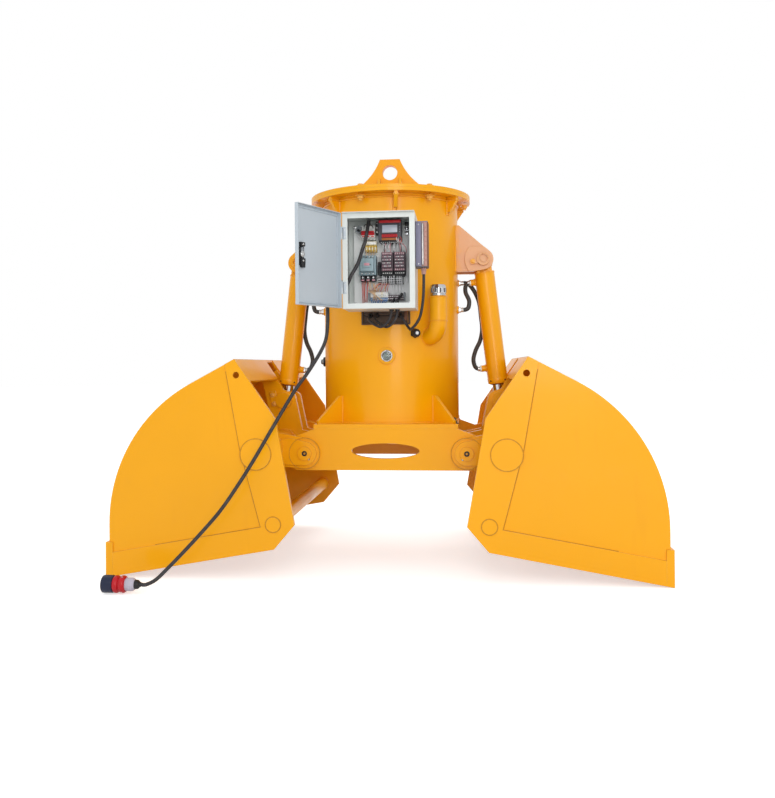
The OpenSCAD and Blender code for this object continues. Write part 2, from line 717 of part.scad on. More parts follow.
module top_pins() color(paint) above_ground() for (s = [-1, 1]) on_side(s) {
    out_y = arm_y + bracket_t + bracket_doubler_t;
    bar_y(top_pin, cyl_pin_d / 2, -out_y - pin_head_t / 2, 2 * out_y + pin_head_t);
    for (m = [0, 1]) mirror([0, m, 0]) {
        difference() {
            bar_y(top_pin, pin_head_r, out_y, pin_head_t);
            bar_y(top_pin, cyl_pin_d / 2, out_y - overrun, pin_head_t + 2 * overrun);
        }
        translate([top_pin_x - pin_keeper_l, out_y, top_pin_z - keeper_w])
            cube([pin_keeper_l - pin_head_r * 0.8, keeper_t, keeper_w]);
    }
}

// Fittings on the drum
sight_t = 18;
sight_lip = 6;
module sight_glass_ring() color(grey) above_ground()
    on_drum(sight_at[0], base_top + sight_at[1]) difference() {
        translate([0, 0, -drum_wall]) cylinder(d = sight_d, h = drum_wall + sight_t, $fn = round_fn);
        translate([0, 0, -2 * drum_wall]) cylinder(d = glass_d, h = 3 * drum_wall + sight_t, $fn = round_fn);
        drum_cut(sight_at[0]);
    }
// The drum's own outer cylinder, seen from a fitting placed by on_drum
module drum_cut(x) {
    rotate([-90, 0, 0]) translate([0, drum_r, -drum_h / 2])
        cylinder(r = drum_r, h = drum_h, $fn = 2 * round_fn);
}
module sight_glass_lens() color("#9FB4B0") above_ground()
    on_drum(sight_at[0], base_top + sight_at[1])
        translate([0, 0, -drum_wall])
            cylinder(d = glass_d - 2 * run_gap, h = drum_wall + sight_t - sight_lip, $fn = round_fn);
module filler_pipe() color(paint) above_ground() difference() {
    union() {
        at_filler() {
            pipe_r = filler_d / 2;
            in_r = pipe_r - filler_wall;
            translate([0, 0, filler_bend]) difference() {
                cylinder(r = pipe_r, h = filler_stub, $fn = round_fn);
                translate([0, 0, -overrun]) cylinder(r = in_r, h = filler_stub + 2 * overrun, $fn = round_fn);
            }
            translate([0, filler_bend, filler_bend]) rotate([0, 90, 0]) rotate([0, 0, -90])
                rotate_extrude(angle = 90, $fn = round_fn) translate([filler_bend, 0]) difference() {
                    circle(pipe_r, $fn = round_fn);
                    circle(in_r, $fn = round_fn);
                }
            translate([0, filler_bend, 0]) rotate([-90, 0, 0]) difference() {
                cylinder(r = pipe_r, h = filler_d / 2, $fn = round_fn);
                translate([0, 0, -overrun]) cylinder(r = in_r, h = filler_d + overrun, $fn = round_fn);
            }
        }
    }
    translate([0, 0, base_top]) cylinder(r = drum_r, h = drum_h, $fn = 2 * round_fn);
}
cap_neck = 16;
module filler_cap() color(steel) above_ground() at_filler()
    translate([0, 0, filler_bend + filler_stub]) {
        translate([0, 0, seam]) cylinder(d = cap_d, h = cap_h - cap_neck, $fn = round_fn);
        translate([0, 0, cap_h - cap_neck])
            cylinder(d1 = cap_d, d2 = cap_d * 0.9, h = cap_neck, $fn = round_fn);
        translate([0, 0, -cap_neck])
            cylinder(r = filler_d / 2 - filler_wall - seam, h = 2 * cap_neck, $fn = round_fn);
    }
gland_d = 37;
gland_h = 34;
module cable_gland() color(black) above_ground() difference() {
    on_drum(gland_x, base_top + gland_rise) {
        translate([0, 0, -drum_wall]) cylinder(r = gland_d * 0.58, h = drum_wall + gland_h / 3, $fn = 6);
        cylinder(d = gland_d, h = gland_h, $fn = small_fn);
    }
    translate([0, 0, base_top]) cylinder(r = drum_r, h = drum_h, $fn = 2 * round_fn);
}
plug_in = 16;
plug_edge = 60;
plug_at = [drum_r - plug_in, plug_edge - beam_w / 2];
plug_r = 12;
plug_h = 26;
module drain_plug() color(steel) above_ground() translate([plug_at[0], plug_at[1], base_top]) {
    cylinder(r = plug_r, h = plug_h / 2, $fn = 6);
    cylinder(r = plug_r * 0.6, h = plug_h, $fn = small_fn);
}
switch_rise = 275;
switch_d = 46;
switch_l = 24;
module level_switch() color(black) above_ground() difference() {
    translate([-drum_r + drum_wall, 0, base_top + switch_rise]) rotate([0, -90, 0]) {
        cylinder(d = switch_d, h = drum_wall + switch_l / 2, $fn = small_fn);
        cylinder(d = switch_d / 2, h = drum_wall + switch_l, $fn = small_fn);
    }
    translate([0, 0, base_top]) cylinder(r = drum_r, h = drum_h, $fn = 2 * round_fn);
}
seal_proud = 6;
seal_lip = 10;
module cable_seal() color(black) above_ground() intersection() {
    union() {
        window_block(-seam);
        difference() {
            translate([-window_w / 2 - seal_lip, -drum_r - overrun, window_z - seal_lip])
                cube([window_w + 2 * seal_lip, drum_r / 3, window_h + 2 * seal_lip]);
            translate([0, 0, base_top]) cylinder(r = drum_r, h = drum_h, $fn = 2 * round_fn);
        }
    }
    translate([0, 0, base_top]) difference() {
        cylinder(r = drum_r + seal_proud, h = drum_h, $fn = 2 * round_fn);
        cylinder(r = drum_r - drum_wall, h = drum_h, $fn = 2 * round_fn);
    }
}

// Power unit inside the drum
shelf_rise = 430;
shelf_z = base_top + shelf_rise;
shelf_t = 16;
motor_r = 125;
motor_headroom = 127;
motor_l = drum_h - shelf_rise - shelf_t - motor_headroom;
pump_r = 80;
pump_l = 190;
bell_r = 110;
fin_count = 16;
module motor() color("#3F6E8C") above_ground() translate([0, 0, shelf_z + shelf_t]) {
    cylinder(r = motor_r + shelf_t, h = shelf_t, $fn = round_fn);
    cylinder(r = motor_r, h = motor_l, $fn = round_fn);
    for (k = [0 : fin_count - 1]) rotate([0, 0, 360 * k / fin_count])
        translate([0, -shelf_t / 4, 2 * shelf_t]) cube([motor_r + shelf_t, shelf_t / 2, motor_l - 5 * shelf_t]);
}
module pump() color(steel) above_ground() {
    translate([0, 0, shelf_z]) ring(drum_r - drum_wall - seam, pump_r / 2, shelf_t);
    translate([0, 0, shelf_z - bell_r]) cylinder(r = bell_r, h = bell_r, $fn = round_fn);
    translate([0, 0, shelf_z - bell_r - pump_l]) cylinder(r = pump_r, h = pump_l, $fn = round_fn);
}
valve_w = 160;
valve_h = 70;
module valve_block() color(steel) above_ground() translate([0, 0, base_top]) {
    translate([-valve_w / 2, -valve_w / 2, 0]) cube([valve_w, valve_w, valve_h]);
    for (s = [-1, 1]) translate([s * valve_w / 4, 0, valve_h])
        cylinder(r = valve_w / 8, h = valve_h / 2, $fn = small_fn);
}

// Control box and what it holds
box_x = -4;
box_back = 350;
box_front = box_back + box_d;
box_rise = 490;
box_z = base_top + box_rise;
box_l = box_x - box_w / 2;
bracket_bar = 40;
bracket_rise = 70;
bracket_pitch = 220;
bracket_rows = [bracket_rise, bracket_rise + bracket_pitch];
module box_brackets() color(paint) above_ground() difference() {
    for (z = bracket_rows) translate([box_x - box_w * 0.44, -box_back, box_z + z])
        cube([box_w * 0.88, box_back - drum_r * 0.85, bracket_bar]);
    translate([0, 0, base_top]) cylinder(r = drum_r, h = drum_h, $fn = 2 * round_fn);
}
gland_in = 26;
supply_rise = 106;
supply_hole = [box_l, -box_front + gland_in, box_z + supply_rise];
control_hole_out = 70;
control_hole_x = box_x + control_hole_out;
module control_box() color(grey) above_ground() difference() {
    translate([box_l, -box_front, box_z]) cube([box_w, box_d, box_h]);
    translate([box_l + sheet_t, -box_front + sheet_t, box_z + sheet_t])
        cube([box_w - 2 * sheet_t, box_d - 2 * sheet_t, box_h - 2 * sheet_t]);
    translate([box_l + box_rim, -box_front - overrun, box_z + box_rim])
        cube([box_w - 2 * box_rim, sheet_t + 2 * overrun, box_h - 2 * box_rim]);
    translate(supply_hole - [overrun, 0, 0]) rotate([0, 90, 0])
        cylinder(d = supply_d + 2 * seam, h = sheet_t + 2 * overrun, $fn = small_fn);
    for (x = [control_hole_x, control_hole_x - 2 * lead_d])
        translate([x, -box_front + 3 * gland_in, box_z - overrun])
            cylinder(d = lead_d + 2 * seam, h = sheet_t + 2 * overrun, $fn = small_fn);
}
// The door is drawn shut about its hinge line, then turned open
door_gap = 2;
knuckle_r = 6;
door_pin_r = 3.5;
knuckle_h = 50;
door_hinge = [box_l - knuckle_r / 2, -box_front - knuckle_r - door_gap];
knuckle_rise = 60;
knuckle_rows = [knuckle_rise, box_h - knuckle_rise - knuckle_h];
door_w = box_w;
door_h = box_h - 2 * door_gap;
module on_door() above_ground()
    translate([door_hinge[0], door_hinge[1], box_z + door_gap]) rotate([0, 0, -door_open]) children();
door_clear = 1.5;
door_start = knuckle_r + door_clear;
latch_in = 34;
latch_at = [door_w - latch_in, door_h / 2];
spindle_r = 9;
module box_door() color(grey) on_door() difference() {
    union() {
        translate([door_start, -door_depth + knuckle_r, 0]) difference() {
            cube([door_w - door_start, door_depth, door_h]);
            translate([sheet_t, sheet_t, sheet_t])
                cube([door_w - door_start - 2 * sheet_t, door_depth, door_h - 2 * sheet_t]);
        }
        for (z = knuckle_rows) translate([0, 0, z]) {
            translate([0, 0, knuckle_h / 2 + seam]) cylinder(r = knuckle_r, h = knuckle_h / 2, $fn = small_fn);
            translate([0, -sheet_t, knuckle_h / 2 + seam])
                cube([door_start + sheet_t, sheet_t, knuckle_h / 2]);
        }
    }
    for (z = knuckle_rows) translate([0, 0, z - overrun])
        cylinder(r = door_pin_r + run_gap, h = knuckle_h + 2 * overrun, $fn = small_fn);
    translate([latch_at[0], -2 * door_depth, latch_at[1]]) rotate([-90, 0, 0])
        cylinder(r = spindle_r + run_gap, h = 4 * door_depth, $fn = small_fn);
}
module door_hinges() color(steel) above_ground() translate([door_hinge[0], door_hinge[1], box_z + door_gap])
    for (z = knuckle_rows) translate([0, 0, z]) {
        cylinder(r = door_pin_r, h = knuckle_h, $fn = small_fn);
        cylinder(r = knuckle_r, h = knuckle_h / 2 - seam, $fn = small_fn);
        translate([knuckle_r / 2 - sheet_t, 0, 0])
            cube([sheet_t, knuckle_r + door_gap + 4 * knuckle_r, knuckle_h / 2 - seam]);
    }
handle_w = 24;
handle_l = 110;
handle_t = 10;
cam_w = 18;
cam_l = 36;
cam_t = 4;
module door_latch() color(black) on_door() translate([latch_at[0], 0, latch_at[1]]) {
    face = -door_depth + knuckle_r;
    translate([-handle_w / 2, face - seam - handle_t, -handle_l * 0.75])
        cube([handle_w, handle_t, handle_l]);
    translate([0, face - seam - handle_t, 0]) rotate([-90, 0, 0])
        cylinder(r = spindle_r, h = handle_t + sheet_t + 3 * cam_t, $fn = small_fn);
    translate([-cam_w / 2, face + sheet_t + cam_t, -cam_w / 2]) cube([cam_w, cam_t, cam_l]);
}
plate_out = 20;
plate_y = box_back + plate_out;
plate_margin = 26;
plate_t = 2.5;
stud_r = 5;
module mounting_plate() color(grey) above_ground() {
    w = box_w - 2 * plate_margin;
    h = box_h - 2 * plate_margin;
    translate([box_x - w / 2, -plate_y - plate_t, box_z + plate_margin]) cube([w, plate_t, h]);
    for (sx = [-1, 1], z = [2 * plate_margin, box_h - 2 * plate_margin])
        translate([box_x + sx * (w / 2 - stud_r), -box_back - sheet_t, box_z + z]) rotate([90, 0, 0])
            cylinder(r = stud_r, h = plate_y - box_back - sheet_t, $fn = small_fn);
}
plate_face = plate_y + plate_t;
// A device on the mounting plate: left, low, width, height and depth as
// shares of the box's width, height and depth
module device(s) translate([box_x + s[0] * box_w, -plate_face - s[4] * box_d, box_z + s[1] * box_h])
    cube([s[2] * box_w, s[4] * box_d, s[3] * box_h]);
module row(s, count, pitch_share) for (k = [0 : count - 1]) device(s + [k * pitch_share, 0, 0, 0, 0]);
breaker_d = 70;
breaker_h = 60;
breaker_rise = 303;
breaker_foot = box_z + breaker_rise;
pole_w = 18;
pole_gap = 1;
pole_x = -83;
toggle_r = 6;
toggle_share = 0.36;
fuse_shares = [-0.233, 0.636, 0.163, 0.112, 0.21];
module pole(k, low_share, h_share, d)
    translate([box_x + pole_x + k * (pole_w + pole_gap), -plate_face - d, breaker_foot + breaker_h * low_share])
        cube([pole_w, d, breaker_h * h_share]);
module main_breakers() color("white") above_ground() difference() {
    union() {
        for (k = [0 : 2]) {
            pole(k, 0, 1, breaker_d * 0.62);
            pole(k, 0.1, 0.56, breaker_d);
        }
        device(fuse_shares);
    }
    toggle_axis() translate([-overrun, 0, 0]) rotate([0, 90, 0])
        cylinder(r = toggle_r + run_gap, h = 4 * pole_w, $fn = small_fn);
}
module toggle_axis()
    translate([box_x + pole_x, -plate_face - breaker_d, breaker_foot + breaker_h * toggle_share]) children();
toggle_l = 14;
toggle_t = 6;
toggle_up = 30;
module breaker_toggle() color("#B3262E") above_ground() toggle_axis() rotate([-toggle_up, 0, 0]) {
    out = toggle_r + toggle_l - toggle_t / 2;
    wide = 3 * pole_w + 2 * pole_gap;
    rotate([0, 90, 0]) cylinder(r = toggle_r, h = wide, $fn = small_fn);
    for (k = [0 : 2]) translate([k * (pole_w + pole_gap) + pole_w / 4, -out, -toggle_t / 2])
        cube([pole_w / 2, toggle_l, toggle_t]);
    translate([0, -out, -toggle_t / 2]) cube([wide, toggle_t, toggle_t]);
}
contactor_shares = [[-0.315, 0.379, 0.24, 0.212, 0.31], [-0.29, 0.416, 0.19, 0.137, 0.44],
                    [-0.255, 0.455, 0.12, 0.06, 0.47]];
module contactor() color("#9DB0B0") above_ground() for (s = contactor_shares) device(s);
relay_shares = [[0, 0.42, 0.167, 0.202, 0.3], [0.016, 0.45, 0.135, 0.14, 0.39],
                [0, 0.379, 0.167, 0.039, 0.27], [0.02, 0.387, 0.127, 0.024, 0.32]];
relay_pitch_share = 0.177;
module relay_group() color("#5D5A60") above_ground() for (s = relay_shares) row(s, 2, relay_pitch_share);
monitor_shares = [[-0.04, 0.732, 0.33, 0.237, 0.29], [0.018, 0.828, 0.213, 0.081, 0.33]];
module phase_monitor() color("#3A3E42") above_ground() for (s = monitor_shares) device(s);
terminal_pitch_share = 0.0253;
terminal_shares = [-0.167, 0.105, 0.022, 0.106, 0.17];
pin_strip_shares = [0.083, 0.111, 0.022, 0.058, 0.17];
rail_shares = [[-0.18, 0.14, 0.28, 0.025, 0.04], [0.07, 0.13, 0.255, 0.025, 0.04]];
module terminal_strips() color("#D9D4C4") above_ground() {
    row(terminal_shares, 10, terminal_pitch_share);
    row(pin_strip_shares, 9, terminal_pitch_share);
    for (s = rail_shares) device(s);
}
wire_d = 4;
wire_count = 6;
wire_out_share = 0.11;
wire_in_share = 0.13;
// Where wire k leaves the contactor and where it enters the terminals
function wire_top(k) = let (s = contactor_shares[0])
    box_x + box_w * (s[0] + (k + 0.6) * s[2] / wire_count);
function wire_foot(k) = let (s = terminal_shares)
    box_x + box_w * (s[0] + s[2] / 2 + k * terminal_pitch_share);
module box_wiring() color("#B9473C") above_ground() {
    top = box_z + box_h * contactor_shares[0][1] - seam;
    foot = box_z + box_h * (terminal_shares[1] + terminal_shares[3]) + seam;
    y_top = -plate_face - box_d * wire_in_share;
    y_foot = -plate_face - box_d * wire_out_share;
    for (k = [0 : wire_count - 1]) swept([
        [wire_top(k), y_top, top], [wire_top(k), y_top, top * 0.85 + foot * 0.15],
        [wire_top(k), y_top - wire_d, top * 0.6 + foot * 0.4],
        [wire_foot(k), y_foot - wire_d, top * 0.3 + foot * 0.7],
        [wire_foot(k), y_foot, top * 0.12 + foot * 0.88], [wire_foot(k), y_foot, foot]],
        wire_d, 3, 6, [0, 1, 0]);
}
receiver_w = 54;
receiver_h = 190;
receiver_d = 80;
receiver_rise = 170;
receiver_z = box_z + receiver_rise;
receiver_in = 30;
receiver_y = box_front - receiver_in;
receiver_lip = 4;
module receiver() color("#8E9499") above_ground() {
    translate([box_x + box_w / 2, -receiver_y, receiver_z]) cube([receiver_w, receiver_d, receiver_h]);
    translate([box_x + box_w / 2 + receiver_w * 0.3, -receiver_y - receiver_lip, receiver_z + 2 * receiver_lip])
        cube([receiver_w * 0.4, receiver_d / 2, receiver_h - 4 * receiver_lip]);
}
// Black leads from the receiver and the box into the drum's window. Their
// points are in lead diameters from where they start or from the window.
window_mid = window_z + window_h / 2;
receiver_out = [box_x + box_w / 2 + receiver_w * 0.6, -receiver_y + receiver_d / 2, receiver_z];
seal_face = drum_r + seal_proud;
enter_shares = [0.335, -0.185, -0.335];
function enter_at(k) = let (x = window_w * enter_shares[k], near = abs(x) - lead_d / 2)
    [x, -sqrt(seal_face * seal_face - near * near) - seam, window_mid];
receiver_lead_shares = [[0, 0, 0], [0, 0, -3.3], [-0.3, 0.5, -10.5], [-1.6, 1.7, -17], [-4.6, 3.7, -20.9]];
receiver_end_shares = [[3.2, -4.6, -4.5], [1, -4.2, -1], [0, -1.2, 0], [0, 0, 0]];
box_lead_shares = [[0, 0, 2], [0, 0, 1], [0, 0, -1], [-1.2, 0.3, -4.2], [-4.2, 1.7, -6]];
box_end_shares = [[0.5, -7.5, -2.2], [0, -2.2, -0.3], [0, -0.8, 0], [0, 0, 0]];
module lead(from, from_shares, k, end_shares) swept(concat(
    [for (s = from_shares) from + lead_d * s], [for (s = end_shares) enter_at(k) + lead_d * s]),
    lead_d, 4, 8, [1, 0, 0.4]);
module control_leads() color(black) above_ground() {
    lead(receiver_out - [0, 0, seam], receiver_lead_shares, 0, receiver_end_shares);
    for (k = [0, 1]) lead([control_hole_x - 2 * k * lead_d, -box_front + 3 * gland_in, box_z],
        box_lead_shares, k + 1, box_end_shares);
}

// Supply cable: gland in the box's side, stretch inside, stretch outside, plug
gland_wide = 30;
gland_long = 36;
gland_nut_h = 8;
module supply_gland() color(black) above_ground() translate(supply_hole) rotate([0, -90, 0]) {
    cylinder(d = gland_wide, h = gland_long / 2, $fn = 6);
    translate([0, 0, gland_long / 2])
        cylinder(d1 = gland_wide * 0.86, d2 = gland_wide * 0.66, h = gland_long / 2, $fn = small_fn);
    translate([0, 0, -sheet_t - seam]) cylinder(d = supply_d, h = sheet_t + 2 * seam, $fn = small_fn);
    translate([0, 0, -sheet_t - gland_nut_h]) cylinder(d = gland_wide, h = gland_nut_h, $fn = 6);
}
lead_in_start = supply_hole + [sheet_t + gland_nut_h + seam, 0, 0];
lead_in_end = [box_x + pole_x + 1.5 * pole_w, -plate_face - breaker_d * 0.31, breaker_foot + breaker_h + seam];
supply_inner_route = [
    [-130, -525, 1228], [-122, -525, 1248], [-106, -520, 1276], [-89, -515, 1311],
    [-75, -505, 1362], [-64, -500, 1394], [-56, -485, 1447], [-54, -460, 1478],
    [-56, -425, 1491], [-60, -399, 1488]];
module supply_lead_in() color(black) above_ground() swept(concat(
    [lead_in_start, lead_in_start + [supply_d / 3, 0, 0]], supply_inner_route,
    [lead_in_end + [0, 0, supply_d / 3], lead_in_end]), supply_d, 4, 8, [0, 1, 0.2]);
// Points of the hanging cable, from the gland to the plug
supply_route = [
    [-190, -524, 1215], [-202, -524, 1215], [-214, -525, 1203], [-219, -526, 1180],
    [-219, -528, 1140], [-219, -531, 1090], [-221, -535, 1035], [-228, -541, 982],
    [-247, -548, 936], [-276, -558, 885], [-307, -575, 835], [-346, -600, 777],
    [-394, -636, 690], [-444, -662, 600], [-496, -690, 505], [-554, -715, 408],
    [-623, -742, 304], [-699, -768, 214], [-760, -795, 146], [-812, -825, 90],
    [-850, -852, 52], [-884, -865, 36], [-904, -865, 36]];
module supply_cable() color(black) above_ground() swept(supply_route, supply_d, 3, 8, [0, 1, 0]);
plug_r_big = 34;
plug_grip_r = 26;
plug_l = 72;
plug_wall = 4;
module supply_plug() color("#C4202B") above_ground()
    translate(supply_route[len(supply_route) - 1]) rotate([0, -90, 0]) {
        cylinder(r1 = supply_d * 0.7, r2 = plug_grip_r * 0.7, h = plug_l / 3, $fn = small_fn);
        translate([0, 0, plug_l / 3]) cylinder(r = plug_grip_r, h = plug_l * 0.8, $fn = small_fn);
        translate([0, 0, plug_l * 1.1]) difference() {
            cylinder(r = plug_r_big, h = plug_l, $fn = round_fn);
            translate([0, 0, plug_l * 0.3]) cylinder(r = plug_r_big - plug_wall, h = plug_l, $fn = round_fn);
        }
        for (k = [0 : 4]) rotate([0, 0, 72 * k]) translate([plug_r_big / 2, 0, plug_l * 1.3])
            cylinder(r = plug_wall, h = plug_l * 0.6, $fn = small_fn);
    }

drum_shell();
drum_flange();
top_cover();
lifting_lug();
cover_bolts();
base_plate();
base_gussets();
beam_plates();
beam_cross_plates();
hinge_bushes();
cylinder_brackets();
top_pins();
sight_glass_ring();
sight_glass_lens();
filler_pipe();
filler_cap();
cable_gland();
drain_plug();
level_switch();
cable_seal();
motor();
pump();
valve_block();
box_brackets();
control_box();
box_door();
door_latch();
door_hinges();
mounting_plate();
main_breakers();
breaker_toggle();
contactor();
relay_group();
phase_monitor();
terminal_strips();
box_wiring();
receiver();
control_leads();
supply_gland();
supply_lead_in();
supply_cable();
supply_plug();
color(paint) as_jaw(-1) side_plates();  // side_plates_left
color(paint) as_jaw(1) side_plates();  // side_plates_right
color(paint) as_jaw(-1) back_plate();  // back_plate_left
color(paint) as_jaw(1) back_plate();  // back_plate_right
color(paint) as_jaw(-1) cutting_edge();  // cutting_edge_left
color(paint) as_jaw(1) cutting_edge();  // cutting_edge_right
color(paint) as_jaw(-1) jaw_frame();  // jaw_frame_left
color(paint) as_jaw(1) jaw_frame();  // jaw_frame_right
color(steel) as_jaw(-1) hinge_pin();  // hinge_pin_left
color(steel) as_jaw(1) hinge_pin();  // hinge_pin_right
color(paint) as_cylinder(-1) barrel();  // barrel_left
color(paint) as_cylinder(1) barrel();  // barrel_right
color(black) as_cylinder(-1) hoses();  // hoses_left
color(black) as_cylinder(1) hoses();  // hoses_right
color(steel) as_cylinder(-1) rod();  // rod_left
color(steel) as_cylinder(1) rod();  // rod_right
color(steel) as_cylinder(-1) eye_pin();  // rod_pin_left
color(steel) as_cylinder(1) eye_pin();  // rod_pin_right
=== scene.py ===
"""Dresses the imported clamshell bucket: finishes, switchgear, hoses, cords, weld seams and the studio."""

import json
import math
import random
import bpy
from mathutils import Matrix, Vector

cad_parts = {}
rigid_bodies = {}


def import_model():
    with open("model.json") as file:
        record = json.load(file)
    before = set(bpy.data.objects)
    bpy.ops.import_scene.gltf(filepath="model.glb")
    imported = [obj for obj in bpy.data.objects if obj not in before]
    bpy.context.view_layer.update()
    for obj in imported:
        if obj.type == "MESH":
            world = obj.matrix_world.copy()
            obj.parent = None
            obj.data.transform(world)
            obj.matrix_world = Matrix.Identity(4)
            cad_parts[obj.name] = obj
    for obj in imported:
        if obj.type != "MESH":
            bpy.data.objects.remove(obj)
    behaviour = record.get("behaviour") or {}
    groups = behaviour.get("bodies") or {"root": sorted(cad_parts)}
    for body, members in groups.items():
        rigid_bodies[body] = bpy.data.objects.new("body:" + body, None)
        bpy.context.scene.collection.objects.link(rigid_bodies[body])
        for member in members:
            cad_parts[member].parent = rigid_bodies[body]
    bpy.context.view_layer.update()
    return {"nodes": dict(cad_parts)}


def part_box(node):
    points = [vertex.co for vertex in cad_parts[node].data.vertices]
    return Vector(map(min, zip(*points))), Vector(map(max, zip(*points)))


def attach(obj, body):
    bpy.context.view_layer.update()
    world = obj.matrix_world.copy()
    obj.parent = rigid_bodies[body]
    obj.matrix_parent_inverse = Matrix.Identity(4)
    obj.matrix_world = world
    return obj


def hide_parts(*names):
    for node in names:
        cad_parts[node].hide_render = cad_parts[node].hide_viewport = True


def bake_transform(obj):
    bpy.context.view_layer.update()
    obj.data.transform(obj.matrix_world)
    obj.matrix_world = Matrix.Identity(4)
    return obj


bl_info = {
    "name": "Clamshell bucket",
    "version": (1, 0, 0),
    "blender": (4, 5, 0),
    "location": "View3D > Sidebar > Bucket",
    "description": "Builds the finishes and fine pieces of an electro-hydraulic clamshell bucket",
    "category": "Object",
}

import bmesh
import bpy
from mathutils import Matrix, Vector

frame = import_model()
NODES = frame["nodes"]
UNIT = "power_unit"
SIDES = (("left", -1), ("right", 1))
MM = 0.001
ACROSS, BACK, UP = (1, 0, 0), (0, 1, 0), (0, 0, 1)

# Places that the pieces are set out from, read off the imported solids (metres)
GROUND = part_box("cutting_edge_left")[0].z
BOX_LOW, BOX_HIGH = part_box("control_box")
PLATE_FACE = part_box("mounting_plate")[0].y
# Half a hinge pin's length, and a hinge's place out from the middle and above the ground (mm)
PIN_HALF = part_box("hinge_pin_right")[1].y / MM
HINGE = (351, 494.2)
# How far the jaws and the door stand open at rest, and how far a cylinder leans
OPEN_ANGLE = math.radians(80)
TILT = math.radians(6.554365)
DOOR_OPEN = math.radians(116)

# Heights above the ground, and radii about the drum's axis, as the solids have them (mm)
BASE_TOP, COVER_TOP, FLANGE_LOW = 619.2, 1660.2, 1618.2
DRUM_R, SEAL_FACE = 315, 321
TOP_PIN_X, TOP_PIN_Z = 433, 1361.2

# Frames in which the pieces are drawn in millimetres
ABOVE = Matrix.Translation((0, 0, GROUND)) @ Matrix.Scale(MM, 4)
INSIDE = (
    Matrix.Translation(((BOX_LOW.x + BOX_HIGH.x) / 2, PLATE_FACE, BOX_LOW.z))
    @ Matrix.Diagonal((MM, -MM, MM, 1))
)
# The door's hinge stands off the box's corner by these (metres)
DOOR_ASIDE, DOOR_OUT, DOOR_UP = 0.003, 0.008, 0.002
ON_DOOR = (
    Matrix.Translation((BOX_LOW.x - DOOR_ASIDE, BOX_LOW.y - DOOR_OUT, BOX_LOW.z + DOOR_UP))
    @ Matrix.Rotation(-DOOR_OPEN, 4, "Z")
    @ Matrix.Scale(MM, 4)
)
# Turns a plate's outline from across to outwards, so that it is extruded sideways
SIDEWAYS = Matrix(((0, 1, 0, 0), (1, 0, 0, 0), (0, 0, 1, 0), (0, 0, 0, 1)))


def mirrored(side, move):
    return (Matrix.Scale(-1, 4, (1, 0, 0)) @ move) if side < 0 else move


def on_jaw(side):
    """The frame of the shut right jaw about its hinge, on either open jaw."""
    place = Matrix.Translation((HINGE[0] * MM, 0, GROUND + HINGE[1] * MM))
    return mirrored(side, place @ Matrix.Rotation(-OPEN_ANGLE, 4, "Y") @ Matrix.Scale(MM, 4))


def on_cylinder(side):
    """The frame of a cylinder that hangs straight down from its upper pin."""
    place = Matrix.Translation((TOP_PIN_X * MM, 0, GROUND + TOP_PIN_Z * MM))
    return mirrored(side, place @ Matrix.Rotation(-TILT, 4, "Y") @ Matrix.Scale(MM, 4))


def on_drum(x, height):
    """A frame on the drum's face: z straight out, y up, at x across its front."""
    return (
        ABOVE
        @ Matrix.Rotation(math.asin(x / DRUM_R), 4, "Z")
        @ Matrix.Translation((0, -DRUM_R, height))
        @ Matrix.Rotation(math.pi / 2, 4, "X")
    )


def about_drum(degrees):
    """A frame turned about the drum's axis from its front, with outwards along -y."""
    return ABOVE @ Matrix.Rotation(math.radians(degrees), 4, "Z")


# Sizes and colours that a user would change


def linear(code):
    """An sRGB hex code as linear red, green, blue and alpha."""
    parts = [int(code[i : i + 2], 16) / 255 for i in (1, 3, 5)]
    return tuple(c / 12.92 if c <= 0.04045 else ((c + 0.055) / 1.055) ** 2.4 for c in parts) + (1.0,)


def colour(name, code, text):
    """A colour property whose default is the linear form of an sRGB code."""
    return bpy.props.FloatVectorProperty(
        name=name, description=text, subtype="COLOR", size=3, min=0, max=1, default=linear(code)[:3]
    )


def length(name, value, text):
    return bpy.props.FloatProperty(name=name, description=text, default=value, min=0.0, unit="LENGTH")


class BucketColours(bpy.types.PropertyGroup):
    enamel: colour("Machine enamel", "#F2A800", "Orange enamel on all the structural steel")
    cabinet: colour("Cabinet powder coat", "#B9C3CB", "Light grey powder coat on the control box")
    cord: colour("Cord jacket", "#2E2C2E", "Jacket of the supply cord and the control leads")
    plug: colour("Plug red", "#B81420", "Red collars of the supply plug")


class BucketSizes(bpy.types.PropertyGroup):
    cord_diameter: length("Supply cord", 0.015, "Outer diameter of the supply cord")
    lead_diameter: length("Control lead", 0.012, "Outer diameter of the control leads")
    hose_diameter: length("Hydraulic hose", 0.020, "Outer diameter of the hydraulic hoses")
    weld_leg: length("Weld leg", 0.0045, "Radius of the weld beads")
    peel: length("Orange peel", 0.004, "Size of the ripples in the sprayed enamel")


# Building helpers


